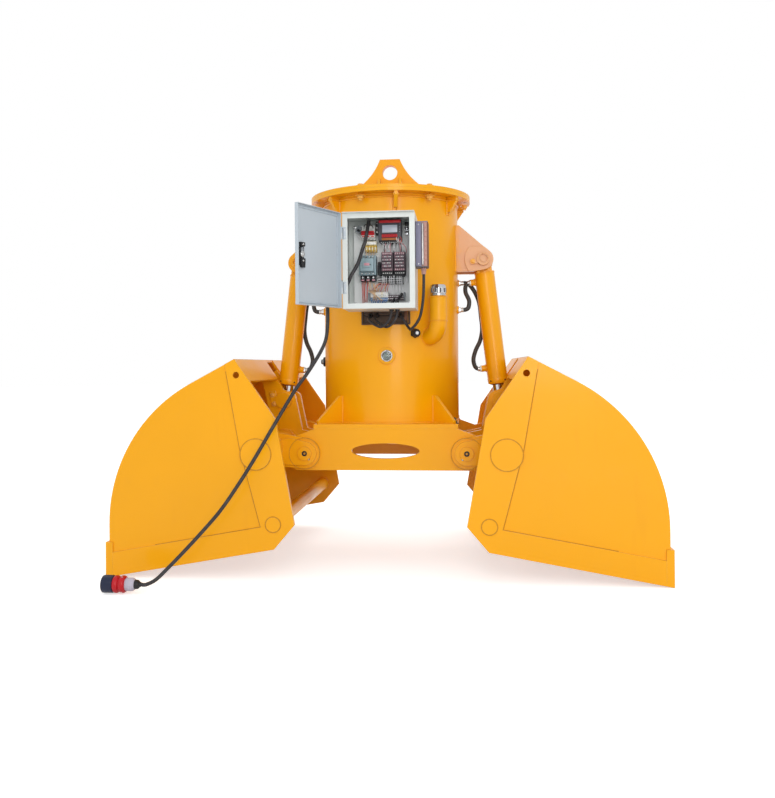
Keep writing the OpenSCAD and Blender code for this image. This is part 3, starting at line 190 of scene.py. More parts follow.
class Maker:
    """Gathers the parts of one piece, drawn in millimetres in a frame, each with its finish."""

    def __init__(self, place=ABOVE):
        self.bm = bmesh.new()
        self.place = place
        self.finishes = []

    def take(self, part, finish):
        """Moves one finished part into the piece."""
        if finish not in self.finishes:
            self.finishes.append(finish)
        bmesh.ops.transform(part, matrix=self.place, verts=part.verts)
        bmesh.ops.recalc_face_normals(part, faces=part.faces)
        for face in part.faces:
            face.material_index = self.finishes.index(finish)
        scratch = bpy.data.meshes.new("scratch")
        part.to_mesh(scratch)
        part.free()
        self.bm.from_mesh(scratch)
        bpy.data.meshes.remove(scratch)

    def aimed(self, part, at, axis):
        """Turns a part's z to an axis and moves it into place."""
        turn = Vector(axis).to_track_quat("Z", "Y").to_matrix()
        bmesh.ops.rotate(part, cent=(0, 0, 0), matrix=turn, verts=part.verts)
        bmesh.ops.translate(part, vec=at, verts=part.verts)

    def eased(self, part, edges, offset, segments=2):
        bmesh.ops.bevel(
            part, geom=edges, offset=offset, segments=segments, profile=0.5, affect="EDGES", material=-1
        )

    def block(self, low, high, finish, bevel=0.0, segments=2, turn=None):
        """A box between two corners, with eased edges, turned about its middle when asked."""
        part = bmesh.new()
        low, high = Vector(low), Vector(high)
        middle = (low + high) / 2
        bmesh.ops.create_cube(part, size=1)
        bmesh.ops.scale(part, vec=high - low, verts=part.verts)
        bmesh.ops.translate(part, vec=middle, verts=part.verts)
        if bevel:
            self.eased(part, part.edges[:], bevel, segments)
        if turn is not None:
            bmesh.ops.rotate(part, cent=middle, matrix=turn, verts=part.verts)
        self.take(part, finish)

    def case(self, x, z, out, finish, bevel=1.0, turn=None):
        """A moulded block on the mounting plate: its span across, up and outwards."""
        self.block((x[0], out[0], z[0]), (x[1], out[1], z[1]), finish, bevel, 2, turn)

    def lathe(self, profile, at, axis, finish, sides=48, lobes=0, depth=0.0):
        """Spins a profile of (radius, height) points; lobes draw in flutes of a share of the radius."""
        part = bmesh.new()
        verts = [part.verts.new((r, 0, h)) for r, h in profile]
        edges = [part.edges.new(pair) for pair in zip(verts, verts[1:])]
        bmesh.ops.spin(
            part, geom=verts + edges, cent=(0, 0, 0), axis=(0, 0, 1), angle=math.tau,
            steps=sides, use_merge=True,
        )
        bmesh.ops.remove_doubles(part, verts=part.verts, dist=1e-4)
        if lobes:
            for vert in part.verts:
                turn = math.atan2(vert.co.y, vert.co.x)
                vert.co.xy *= 1 - depth * (0.5 - 0.5 * math.cos(lobes * turn))
        self.aimed(part, at, axis)
        self.take(part, finish)

    def disc(self, r, low, high, at, axis, finish, sides=24, ease=0.0):
        """A short round part with an eased rim."""
        e = ease or min(r, high - low) * 0.15
        self.lathe([(0, low), (r, low), (r, high - e), (r - e, high), (0, high)], at, axis, finish, sides)

    def ring(self, outer, inner, low, high, at, axis, finish, sides=48):
        """A flat ring with eased rims."""
        e = min(outer - inner, high - low) * 0.2
        self.lathe([(inner, low), (outer, low), (outer, high - e), (outer - e, high), (inner + e, high),
                    (inner, high - e), (inner, low)], at, axis, finish, sides)

    def hexagon(self, at, axis, across, height, finish, washer=0.0):
        """A hexagon head or nut with chamfered corners, on a washer when one is asked for."""
        axis, at = Vector(axis).normalized(), Vector(at)
        if washer:
            self.disc(across * 0.95, 0, washer, at, axis, finish)
            at = at + axis * washer
        part = bmesh.new()
        r = across / 2 / math.cos(math.pi / 6)
        bmesh.ops.create_cone(
            part, cap_ends=True, segments=6, radius1=r, radius2=r, depth=height,
            matrix=Matrix.Translation((0, 0, height / 2)),
        )
        top = [e for e in part.edges if min(v.co.z for v in e.verts) > height * 0.99]
        self.eased(part, top, height * 0.16)
        self.aimed(part, at, axis)
        self.take(part, finish)

    def screw(self, at, axis, r, finish="zinc-plated steel", height=0.0):
        """A small pan head with a round recess."""
        h = height or r * 0.6
        self.lathe([(0, h * 0.45), (r * 0.42, h * 0.45), (r * 0.46, h), (r * 0.8, h), (r, h * 0.6), (r, 0)],
                   at, axis, finish, 12)

    def plate(self, outline, low, high, finish, bevel=0.0, pose=None):
        """Extrudes a flat outline of (x, z) points along y, from low to high."""
        part = bmesh.new()
        face = part.faces.new([part.verts.new((x, low, z)) for x, z in outline])
        grown = bmesh.ops.extrude_face_region(part, geom=[face])
        moved = [g for g in grown["geom"] if isinstance(g, bmesh.types.BMVert)]
        bmesh.ops.translate(part, vec=(0, high - low, 0), verts=moved)
        if bevel:
            self.eased(part, part.edges[:], bevel)
        if pose is not None:
            bmesh.ops.transform(part, matrix=pose, verts=part.verts)
        self.take(part, finish)

    def profile(self, outline, low, high, finish, bevel=0.0):
        """Extrudes an outline of (outwards, up) points sideways, as a device's side view."""
        self.plate(outline, low, high, finish, bevel, SIDEWAYS)

    def bent(self, x, z, out, finish, bevel=1.0, cuts=16):
        """A block bent round the drum: its spans along the curve, up and out from the wall."""
        part = bmesh.new()
        low, high = Vector((x[0], out[0], z[0])), Vector((x[1], out[1], z[1]))
        bmesh.ops.create_cube(part, size=1)
        bmesh.ops.scale(part, vec=high - low, verts=part.verts)
        bmesh.ops.translate(part, vec=(low + high) / 2, verts=part.verts)
        if bevel:
            self.eased(part, part.edges[:], bevel)
        for k in range(1, cuts):
            at = x[0] + (x[1] - x[0]) * k / cuts
            bmesh.ops.bisect_plane(
                part, geom=part.verts[:] + part.edges[:] + part.faces[:], plane_co=(at, 0, 0),
                plane_no=(1, 0, 0),
            )
        for vert in part.verts:
            turn, r = vert.co.x / DRUM_R, DRUM_R + vert.co.y
            vert.co = (r * math.sin(turn), -r * math.cos(turn), vert.co.z)
        self.take(part, finish)

    def done(self, name, body, replaces=(), smooth=35):
        mesh = bpy.data.meshes.new(name)
        self.bm.to_mesh(mesh)
        self.bm.free()
        for finish in self.finishes:
            mesh.materials.append(MATERIALS[finish])
        mesh.polygons.foreach_set("use_smooth", [True] * len(mesh.polygons))
        mesh.set_sharp_from_angle(angle=math.radians(smooth))
        return settle(bpy.data.objects.new(name, mesh), body, replaces)


def settle(obj, body, replaces=()):
    """Links a finished piece, parents it to the body that it rides on and hides the solids that it stands
    for.
    """
    bpy.context.scene.collection.objects.link(obj)
    if body:
        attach(obj, body)
    if replaces:
        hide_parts(*replaces)
    return obj


def flowing(points, steps):
    """A smooth line through the points, as the solids' own cords are swept."""
    pts = [Vector(p) for p in points]
    line = []
    for i in range(len(pts) - 1):
        a, b, c, d = pts[max(i - 1, 0)], pts[i], pts[i + 1], pts[min(i + 2, len(pts) - 1)]
        for k in range(steps):
            t = k / steps
            line.append(
                0.5 * (2 * b + (c - a) * t + (2 * a - 5 * b + 4 * c - d) * t * t
                       + (3 * b - a - 3 * c + d) * t ** 3)
            )
    return line + [pts[-1]]


def paced(points, pitch):
    """Points at an even pitch along straight runs between the given ones."""
    pts = [Vector(p) for p in points]
    line = []
    for a, b in zip(pts, pts[1:]):
        count = max(1, round((b - a).length / pitch))
        line += [a.lerp(b, k / count) for k in range(count)]
    return line + [pts[-1]]


def turns(count, offset=0.0):
    """Angles at an even pitch round a full turn, from a share of the pitch on."""
    return [math.tau * (k + offset) / count for k in range(count)]


def circle(middle, r, across, up, sides):
    """Points round a circle, back to the first, in the plane of two directions."""
    middle, across, up = Vector(middle), Vector(across), Vector(up)
    return [middle + r * (math.cos(t) * across + math.sin(t) * up) for t in [*turns(sides), math.tau]]


def strand_curve(name, routes, radius, place, steps, sides):
    """A curve with one round strand for each (points, finish) or (points, finish, shares) route."""
    data = bpy.data.curves.new(name, "CURVE")
    data.dimensions = "3D"
    data.bevel_depth = radius
    data.bevel_resolution = sides
    data.use_fill_caps = True
    finishes = []
    for points, finish, *shares in routes:
        if finish not in finishes:
            finishes.append(finish)
            data.materials.append(MATERIALS[finish])
        line = flowing(points, steps) if steps else [Vector(p) for p in points]
        spline = data.splines.new("POLY")
        spline.points.add(len(line) - 1)
        spline.points.foreach_set("co", [c for p in line for c in (*(place @ p), 1.0)])
        if shares:
            many = shares[0]
            spline.points.foreach_set("radius", [many[k % len(many)] for k in range(len(line))])
        spline.use_smooth = True
        spline.material_index = finishes.index(finish)
    return bpy.data.objects.new(name, data)


def strands(name, routes, radius, body, replaces=(), place=ABOVE, steps=6, sides=4):
    return settle(strand_curve(name, routes, radius, place, steps, sides), body, replaces)


def as_mesh(name, curve_object):
    """The mesh of a curve, for a piece that runs between two bodies."""
    bpy.context.scene.collection.objects.link(curve_object)
    bpy.context.view_layer.update()
    graph = bpy.context.evaluated_depsgraph_get()
    mesh = bpy.data.meshes.new_from_object(curve_object.evaluated_get(graph))
    mesh.name = name
    bpy.data.objects.remove(curve_object)
    return bpy.data.objects.new(name, mesh)


# Ripples left by the welder's weave: real ones are 1 to 2 mm apart, drawn coarser to show
WEAVE = [1.0, 1.1, 0.96, 1.07, 0.92, 1.04, 1.12, 0.98, 1.02, 0.94, 1.09]


def beads(name, lines, radius, body, place=ABOVE, pitch=7.0, kind="weld enamel"):
    """Weld beads along straight runs of points, with the ripples of the weave."""
    routes = [(paced(line, pitch), kind, WEAVE) for line in lines]
    return strands(name, routes, radius, body, (), place, 0, 1)


# Finishes

MATERIALS = {}

# Sockets of a colour mix: its share, the colour below, the colour over it and the mixed colour
SHARE, BELOW, OVER, MIXED = 0, 6, 7, 2
COLOUR_MIX = {"data_type": "RGBA", "clamp_result": True}
# Pitch of a wave texture's bands at a scale of 1, so that a real pitch gives its scale
WAVE = math.tau / 20


def node(tree, kind, inputs=(), **settings):
    """Adds a shader node; inputs maps a socket to a value or to another node's output."""
    made = tree.nodes.new("ShaderNode" + kind)
    for key, value in settings.items():
        setattr(made, key, value)
    for key, value in dict(inputs).items():
        if isinstance(value, bpy.types.NodeSocket):
            tree.links.new(value, made.inputs[key])
        else:
            made.inputs[key].default_value = value
    return made


def feed(tree, shader, **outputs):
    """Links outputs of the pattern to the shader's sockets."""
    for key, output in outputs.items():
        tree.links.new(output, shader.inputs[key.replace("_", " ")])


def finish(name, base, roughness, metallic=0.0, **sockets):
    """A new material with its shader; returns the tree, the shader and the object coordinates."""
    material = bpy.data.materials.new(name)
    material.use_nodes = True
    material.diffuse_color = base
    tree = material.node_tree
    shader = tree.nodes["Principled BSDF"]
    shader.inputs["Base Color"].default_value = base
    shader.inputs["Roughness"].default_value = roughness
    shader.inputs["Metallic"].default_value = metallic
    for key, value in sockets.items():
        shader.inputs[key.replace("_", " ")].default_value = value
    MATERIALS[name] = material
    return tree, shader, node(tree, "TexCoord").outputs["Object"]


def opaque(chosen):
    """A colour property as a colour with its alpha."""
    return (*chosen, 1.0)


def darker(base, share):
    return (*(c * share for c in base[:3]), 1.0)


def clouds(tree, coords, size, low, high, least=0.0, most=1.0, detail=2.0, roughness=0.5):
    """Soft patches of a real size in millimetres: noise from low to high gives least to most."""
    fog = node(tree, "TexNoise", {
        "Vector": coords, "Scale": 1 / (size * MM), "Detail": detail, "Roughness": roughness,
    })
    return node(tree, "MapRange", {
        "Value": fog.outputs["Fac"], "From Min": low, "From Max": high, "To Min": least, "To Max": most,
    }).outputs["Result"]


def clouded(tree, coords, below, over, *pattern):
    """A colour with soft patches of another over it; the pattern is what clouds takes."""
    share = clouds(tree, coords, *pattern)
    return node(tree, "Mix", {SHARE: share, BELOW: below, OVER: over}, **COLOUR_MIX).outputs[MIXED]


def bumped(tree, shader, height, depth, strength=1.0, rounding=0.0):
    """Raises the surface by a height map, on edges rounded to a real radius (millimetres)."""
    inputs = {"Height": height, "Distance": depth * MM, "Strength": strength}
    if rounding:
        inputs["Normal"] = node(tree, "Bevel", {"Radius": rounding * MM}, samples=4).outputs["Normal"]
    feed(tree, shader, Normal=node(tree, "Bump", inputs).outputs["Normal"])


def grained(tree, shader, coords, size, detail, depth, strength, rounding=0.0):
    """A fine grain on the surface: its size, depth and the edges' rounding in millimetres."""
    grain = node(tree, "TexNoise", {"Vector": coords, "Scale": 1 / (size * MM), "Detail": detail})
    bumped(tree, shader, grain.outputs["Fac"], depth, strength, rounding)


def edge_share(tree, radius):
    """How near an outer edge a point lies: 0 on a flat, towards 1 on the edge."""
    soft = node(tree, "Bevel", {"Radius": radius * MM}, samples=4).outputs["Normal"]
    true = node(tree, "NewGeometry").outputs["Normal"]
    dot = node(tree, "VectorMath", {0: soft, 1: true}, operation="DOT_PRODUCT").outputs["Value"]
    return node(tree, "MapRange", {"Value": dot, "From Min": 0.995, "From Max": 0.80}).outputs["Result"]


def enamel(name, base, peel, gloss=0.36, right_tint=None):
    """Two-pack machine enamel, sprayed: an even strong colour with a broad satin highlight,
    a faint orange peel, slightly thin and pale on the edges, with a dusty film in patches."""
    tree, shader, coords = finish(
        name, base, gloss, Specular_IOR_Level=0.2, Coat_Weight=0.22, Coat_Roughness=0.12
    )
    body = clouded(tree, coords, darker(base, 0.94), base, 550, 0.3, 0.7, 0, 1, 3.0)
    if right_tint:
        # Past a ragged border at about 0.3 m across, towards the right-hand side, the colour turns a paler
        # pinkish tan
        across = node(tree, "SeparateXYZ", {0: coords}).outputs["X"]
        ragged = clouds(tree, coords, 50, 0, 1, -0.03, 0.03, 4.0)
        place = node(tree, "Math", {0: across, 1: ragged}, operation="ADD").outputs["Value"]
        share = node(tree, "MapRange", {"Value": place, "From Min": 0.29, "From Max": 0.33})
        body = node(tree, "Mix", {
            SHARE: share.outputs["Result"], BELOW: body, OVER: right_tint,
        }, **COLOUR_MIX).outputs[MIXED]
    smeared = clouded(tree, coords, body, linear("#E3A22E"), 120, 0.58, 0.80, 0.0, 0.16, 5.0, 0.65)
    upright = node(tree, "Mapping", {"Vector": coords, "Scale": (1, 1, 0.14)}).outputs["Vector"]
    dripped = clouded(tree, upright, smeared, linear("#D88A10"), 50, 0.62, 0.8, 0.0, 0.12, 3.0)
    rubbed = clouds(tree, coords, 30, 0.35, 0.75, 0.2, 0.9, 4.0)
    worn = node(tree, "Math", {0: edge_share(tree, 4), 1: rubbed}, operation="MULTIPLY").outputs["Value"]
    film = node(tree, "Mix", {SHARE: worn, BELOW: dripped, OVER: linear("#F7C052")}, **COLOUR_MIX)
    rough = clouds(tree, coords, 200, 0.3, 0.7, gloss - 0.07, gloss + 0.12, 4.0)
    feed(tree, shader, Base_Color=film.outputs[MIXED], Roughness=rough)
    # Peel of 1 to 2 mm is finer than a pixel, so it is drawn twice as coarse
    grained(tree, shader, coords, peel, 1.0, 0.3, 0.5, 3)


def powder_coat(name, base, rough=0.42):
    """Polyester powder coat on sheet steel: a fine even texture with almost no gloss change."""
    tree, shader, coords = finish(name, base, rough)
    body = clouded(tree, coords, darker(base, 0.95), base, 250, 0.3, 0.7, 0, 1, 3.0)
    upright = node(tree, "Mapping", {"Vector": coords, "Scale": (1, 1, 0.2)}).outputs["Vector"]
    streaked = clouded(tree, upright, body, darker(base, 0.9), 40, 0.5, 0.8, 0.0, 0.25, 4.0)
    feed(tree, shader, Base_Color=streaked)
    # The coat's own grain of about 0.5 mm is finer than a pixel, so it is drawn five times as coarse
    grained(tree, shader, coords, 2.5, 2.0, 0.2, 0.4, 1.2)


def zinc_sheet(name, base):
    """Hot-dip galvanised sheet: pale grey metal with a soft mottle from its crystals."""
    tree, shader, coords = finish(name, base, 0.38, 0.35)
    # Crystals of about 12 mm
    cells = node(tree, "TexVoronoi", {"Vector": coords, "Scale": 1 / (12 * MM)}).outputs["Color"]
    share = node(tree, "MapRange", {
        "Value": cells, "From Min": 0.1, "From Max": 0.9, "To Max": 0.35,
    }).outputs["Result"]
    mottled = node(tree, "Mix", {SHARE: share, BELOW: base, OVER: linear("#F1F4F6")}, **COLOUR_MIX)
    feed(tree, shader, Base_Color=mottled.outputs[MIXED])
    grained(tree, shader, coords, 4, 2.0, 0.1, 0.5)


def turned_steel(name, base, rough=0.3):
    """Turned or milled steel: fine tool marks that blur the highlight, oily in places."""
    tree, shader, coords = finish(name, base, rough, 1.0)
    stretched = node(tree, "Mapping", {"Vector": coords, "Scale": (1, 12, 1)}).outputs["Vector"]
    # Marks of about 1 mm are too fine to show, so they are drawn four times as coarse
    marks = node(tree, "TexNoise", {
        "Vector": stretched, "Scale": 1 / (4.8 * MM), "Detail": 3.0,
    }).outputs["Fac"]
    blurred = node(tree, "MapRange", {
        "Value": marks, "From Min": 0.2, "From Max": 0.8, "To Min": rough - 0.08, "To Max": rough + 0.14,
    }).outputs["Result"]
    oily = clouded(tree, coords, base, darker(base, 0.72), 50, 0.35, 0.7, 0, 1, 4.0)
    feed(tree, shader, Base_Color=oily, Roughness=blurred)
    bumped(tree, shader, marks, 0.12, 0.4, 1)


def hard_chrome(name, base):
    """Ground and polished hard chrome: a bright mirror with the faintest haze, and darker patches in its
    colour that are painted dark reflections.
    """
    tree, shader, coords = finish(name, base, 0.09, 1.0)
    # Darker patches in the mirror's colour: painted dark reflections
    dark_reflections = clouded(tree, coords, base, darker(base, 0.6), 30, 0.45, 0.75, 0.0, 0.3, 3.0)
    haze = clouds(tree, coords, 60, 0.3, 0.75, 0.06, 0.17, 4.0)
    feed(tree, shader, Base_Color=dark_reflections, Roughness=haze)
    grained(tree, shader, coords, 20, 2.0, 0.2, 0.3, 0.8)


def moulded(name, base, rough=0.42):
    """Injection-moulded plastic: an even colour with a fine spark-eroded grain."""
    tree, shader, coords = finish(name, base, rough, Specular_IOR_Level=0.3)
    feed(tree, shader, Base_Color=clouded(
        tree, coords, base, darker(base, 0.6), 30, 0.45, 0.8, 0.0, 0.18, 4.0))
    # Sparks leave a grain of about 0.1 mm, too fine to show, so it is drawn at 1.6 mm
    grained(tree, shader, coords, 1.6, 2.0, 0.1, 0.5, 0.8)


def rubber_jacket(name, base, rough=0.5):
    """Extruded rubber jacket: near-black, chalky where it has been dragged."""
    tree, shader, coords = finish(name, base, rough, Specular_IOR_Level=0.3)
    chalk = clouds(tree, coords, 25, 0.52, 0.78, 0.0, 0.4, 5.0, 0.7)
    dragged = node(tree, "Mix", {SHARE: chalk, BELOW: base, OVER: linear("#6E6A68")}, **COLOUR_MIX)
    dulled = node(tree, "MapRange", {
        "Value": chalk, "From Max": 0.4, "To Min": rough - 0.06, "To Max": rough + 0.2,
    }).outputs["Result"]
    feed(tree, shader, Base_Color=dragged.outputs[MIXED], Roughness=dulled)
    # The die's marks are under 1 mm apart and are drawn at 3 mm to show
    grained(tree, shader, coords, 3, 3.0, 0.2, 0.5)


def braided_sleeve(name, base):
    """Rubber hose with a wrapped-fabric cover: a fine criss-cross weave, dulled by oil."""
    tree, shader, coords = finish(name, base, 0.5)
    # The threads of the wrapped cloth lie 1 to 2 mm apart and are drawn at 5.65 mm to show
    bands = []
    for turn in (0.7, -0.7):
        aslant = node(tree, "Mapping", {"Vector": coords, "Rotation": (turn, 0.7, turn)})
        bands.append(node(tree, "TexWave", {
            "Vector": aslant.outputs["Vector"], "Scale": WAVE / (5.655 * MM), "Distortion": 0.4,
            "Detail": 1.0,
        }).outputs["Fac"])
    weave = node(tree, "Math", dict(enumerate(bands)), operation="MULTIPLY").outputs["Value"]
    cover = node(tree, "Mix", {
        SHARE: weave, BELOW: darker(base, 0.7), OVER: linear("#45443F"),
    }, **COLOUR_MIX)
    feed(tree, shader, Base_Color=cover.outputs[MIXED])
    bumped(tree, shader, weave, 0.4, 0.6)


def polished_glass(name, base):
    """A thick toughened glass disc: clear with a faint green edge."""
    tree, shader, coords = finish(name, base, 0.04, IOR=1.5, Transmission_Weight=0.85)
    feed(tree, shader, Roughness=clouds(tree, coords, 20, 0.3, 0.8, 0.03, 0.14, 4.0))


def display(name, base):
    """A liquid crystal display behind clear plastic: pale lilac with fine darker rows."""
    tree, shader, coords = finish(name, base, 0.16)
    # Rows of characters 6.3 mm apart
    rows = node(tree, "TexWave", {"Vector": coords, "Scale": WAVE / (6.283 * MM), "Distortion": 0.0},
                bands_direction="Z")
    share = node(tree, "MapRange", {
        "Value": rows.outputs["Fac"], "From Min": 0.5, "From Max": 0.9, "To Max": 0.4,
    }).outputs["Result"]
    lit = node(tree, "Mix", {SHARE: share, BELOW: base, OVER: linear("#7F93A6")}, **COLOUR_MIX)
    feed(tree, shader, Base_Color=lit.outputs[MIXED])


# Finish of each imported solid; the ones not named here are in machine enamel
DRESS = {
    "turned steel": ("hinge_bushes", "pump", "valve_block"),
    "hinge powder coat": ("door_hinges",),
    "grey powder coat": ("box_door",),
    # The box is coated paler than its door: a lit copy of the door's coat, painted light on the box
    "lit box powder coat": ("control_box",),
    # The mounting plate's near white is partly its own pale coat and partly painted light against the shade
    # inside the box
    "white plate coat with painted light": ("mounting_plate",),
    "blue powder coat": ("motor",),
    # The brackets and top pins turn a paler pinkish tan towards the right-hand side
    "right-pale enamel": ("cylinder_brackets", "top_pins"),
}
# Moulded plastics with their colour and roughness. Housings of polyamide, polycarbonate and ABS
# have a satin face, phenolic and the pink painted reflection are duller, and the PVC on the wires is a
# little glossier.
# The lilac and pink entries, and the brown phenolic on the receiver, are painted reflections
MOULDINGS = {
    "black polyamide": ("#1D1E20", 0.42), "dusky polyamide": ("#5A4A52", 0.42),
    "anthracite polyamide": ("#54545A", 0.4), "pink polyamide": ("#C9909A", 0.42),
    "yellow polyamide": ("#DDBA55", 0.42), "blue polyamide": ("#4C7DB5", 0.42),
    "amber polyamide": ("#A8642E", 0.4), "navy polyamide": ("#18203A", 0.38),
    "pale grip polyamide": ("#B7B3C2", 0.45),
    "white polycarbonate": ("#EDEDEA", 0.42), "grey polycarbonate": ("#8A9096", 0.42),
    "cream polycarbonate": ("#EDE7CF", 0.42), "red polycarbonate": ("#C8242C", 0.35),
    "lilac painted reflection": ("#7C7A90", 0.4), "grey-green ABS": ("#8FA5AC", 0.42),
    "brown phenolic and painted reflection": ("#6E4A34", 0.5), "pink painted reflection": ("#B98E84", 0.5),
    "red PVC": ("#C65A50", 0.4), "beige PVC": ("#DBB892", 0.4), "black PVC": ("#26262A", 0.4),
    "white PVC": ("#E2E2E4", 0.4), "blue PVC": ("#5B7FB5", 0.4), "pink PVC": ("#D79AA0", 0.4),
}


class BUCKET_OT_finishes(bpy.types.Operator):
    """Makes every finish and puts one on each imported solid"""

    bl_idname = "bucket.finishes"
    bl_label = "Finishes"

    def execute(self, context):
        colours = context.scene.bucket_colours
        peel = context.scene.bucket_sizes.peel / MM
        enamel("orange enamel", opaque(colours.enamel), peel)
        enamel("weld enamel", linear("#F0A41C"), peel, 0.32)
        # Darker enamel: painted shade along seams and plate edges
        enamel("shaded enamel", linear("#C58406"), peel, 0.4)
        enamel("bolt enamel", linear("#F1B04A"), peel, 0.32)
        enamel("right-pale enamel", opaque(colours.enamel), peel, 0.38, linear("#DAA478"))
        powder_coat("grey powder coat", opaque(colours.cabinet))
        # A paler copy of the cabinet's coat: painted light on the box
        powder_coat("lit box powder coat", linear("#D6DBD8"))
        # Near white: partly the plate's own coat, partly painted light inside the box
        powder_coat("white plate coat with painted light", linear("#F0F2F2"))
        powder_coat("hinge powder coat", linear("#D5DADC"))
        powder_coat("blue powder coat", linear("#3F6E8C"))
        powder_coat("olive powder coat", linear("#454A3C"), 0.5)
        zinc_sheet("galvanised sheet", linear("#D3D8DB"))
        turned_steel("turned steel", linear("#9C9A96"))
        turned_steel("zinc-plated steel", linear("#D3D5D5"), 0.26)
        turned_steel("brass", linear("#C9A15A"), 0.28)
        hard_chrome("hard chrome", linear("#BFC1C4"))
        turned_steel("brushed aluminium", linear("#B9B6B4"), 0.36)
        for name, (code, rough) in MOULDINGS.items():
            moulded(name, linear(code), rough)
        moulded("red polyamide", opaque(colours.plug), 0.32)
        display("liquid crystal display", linear("#C3CAD6"))
        rubber_jacket("cord rubber", opaque(colours.cord))
        rubber_jacket("dark foam rubber", linear("#4F4036"), 0.8)
        rubber_jacket("pale foam rubber", linear("#B4BEC6"), 0.85)
        braided_sleeve("hose rubber", linear("#343436"))
        polished_glass("sight glass", linear("#C9D6D0"))
        chosen = {n: name for name, names in DRESS.items() for n in names}
        for name, obj in NODES.items():
            obj.data.materials.clear()
            obj.data.materials.append(MATERIALS[chosen.get(name, "orange enamel")])
        return {"FINISHED"}


# The studio

# The camera, as it was fitted to the photograph: place in metres, turns in radians, lens in mm
CAMERA_AT = (0.3531, -4.0672, GROUND + 0.8714)
YAW, PITCH, ROLL = 0.1085, math.pi / 2 + 0.0023, -0.0084
FOCAL_LENGTH, SENSOR_WIDTH, SHIFT_X, SHIFT_Y = 38.76, 36.0, 0.01813, -0.04358
# Lamps: place with its height above the ground, width and height in metres, and power in watts
LAMPS = {
    # The box to the right of the camera shows as a pale band in whatever mirrors it
    "softbox": ((1.0, -4.8, 1.95), (1.6, 2.5), 58),
    "key": ((-3.4, -8.0, 4.6), (4.5, 4.5), 50),
    "fill": ((5.0, -7.0, 3.0), (4.5, 4.5), 30),
    "rim": ((0.6, 3.4, 4.2), (2.4, 2.4), 48),
}
# The lamps are aimed at this height above the ground (metres)
AIM_HEIGHT = 0.9
# How brightly the surround and the floor light the object, against the pure white that is seen
SURROUND_LIGHT, FLOOR_GLOW, FLOOR_SHADE = 0.84, 0.55, linear("#E7E7E7")
# The floor's radius, and its gap below the lips so that the two don't flicker (metres)
FLOOR_RADIUS, FLOOR_GAP = 40, 0.0005
WHITE = linear("#FFFFFF")


class BUCKET_OT_studio(bpy.types.Operator):
    """Sets the camera at the photograph's place, soft lamps, a pale floor and a white surround"""

    bl_idname = "bucket.studio"
    bl_label = "Studio"

    def execute(self, context):
        scene = context.scene
        scene.view_settings.view_transform = "Standard"
        data = bpy.data.cameras.new("camera")
        data.lens, data.sensor_width = FOCAL_LENGTH, SENSOR_WIDTH
        data.shift_x, data.shift_y = SHIFT_X, SHIFT_Y
        data.clip_end = 2.5 * FLOOR_RADIUS
        camera = bpy.data.objects.new("camera", data)
        camera.matrix_world = (
            Matrix.Translation(CAMERA_AT)
            @ Matrix.Rotation(YAW, 4, "Z")
            @ Matrix.Rotation(PITCH, 4, "X")
            @ Matrix.Rotation(ROLL, 4, "Z")
        )
        scene.collection.objects.link(camera)
        scene.camera = camera
        for name, lamp in LAMPS.items():
            self.lamp(scene, name, *lamp)
        self.world(scene)
        self.floor(scene)
        return {"FINISHED"}

    def lamp(self, scene, name, place, size, watts):
        data = bpy.data.lights.new(name, "AREA")
        data.shape, data.energy = "RECTANGLE", watts
        data.size, data.size_y = size
        obj = bpy.data.objects.new(name, data)
        place = Vector((place[0], place[1], GROUND + place[2]))
        aim = Vector((0, 0, GROUND + AIM_HEIGHT)) - place
        obj.matrix_world = Matrix.Translation(place) @ aim.to_track_quat("-Z", "Y").to_matrix().to_4x4()
        scene.collection.objects.link(obj)

    def seen(self, tree):
        """1 for rays from the camera, off gloss or through glass."""
        path = node(tree, "LightPath").outputs
        gloss = node(tree, "Math", {
            0: path["Is Camera Ray"], 1: path["Is Glossy Ray"],
        }, operation="MAXIMUM")
        return node(tree, "Math", {
            0: gloss.outputs["Value"], 1: path["Is Transmission Ray"],
        }, operation="MAXIMUM").outputs["Value"]

    def world(self, scene):
        world = bpy.data.worlds.new("white surround")
        world.use_nodes = True
        tree = world.node_tree
        tree.nodes.clear()
        soft = node(tree, "Background", {"Color": WHITE, "Strength": SURROUND_LIGHT})
        white = node(tree, "Background", {"Color": WHITE, "Strength": 1.0})
        mix = node(tree, "MixShader", {
            0: self.seen(tree), 1: soft.outputs[0], 2: white.outputs[0],
        })
        node(tree, "OutputWorld", {"Surface": mix.outputs[0]})
        scene.world = world

    def floor(self, scene):
        bm = bmesh.new()
        bmesh.ops.create_circle(bm, cap_ends=True, segments=96, radius=FLOOR_RADIUS)
        bmesh.ops.translate(bm, vec=(0, 0, GROUND - FLOOR_GAP), verts=bm.verts)
        mesh = bpy.data.meshes.new("studio_floor")
        bm.to_mesh(mesh)
        bm.free()
        material = bpy.data.materials.new("pale floor")
        material.use_nodes = True
        tree = material.node_tree
        tree.nodes.clear()
        matt = node(tree, "BsdfDiffuse", {"Color": FLOOR_SHADE})
        glow = node(tree, "Emission", {"Color": WHITE, "Strength": FLOOR_GLOW})
        bright = node(tree, "AddShader", {0: matt.outputs[0], 1: glow.outputs[0]})
        mix = node(tree, "MixShader", {0: self.seen(tree), 1: matt.outputs[0], 2: bright.outputs[0]})
        node(tree, "OutputMaterial", {"Surface": mix.outputs[0]})
        mesh.materials.append(material)
        floor = bpy.data.objects.new("studio_floor", mesh)
        scene.collection.objects.link(floor)


# Cords, leads and hoses

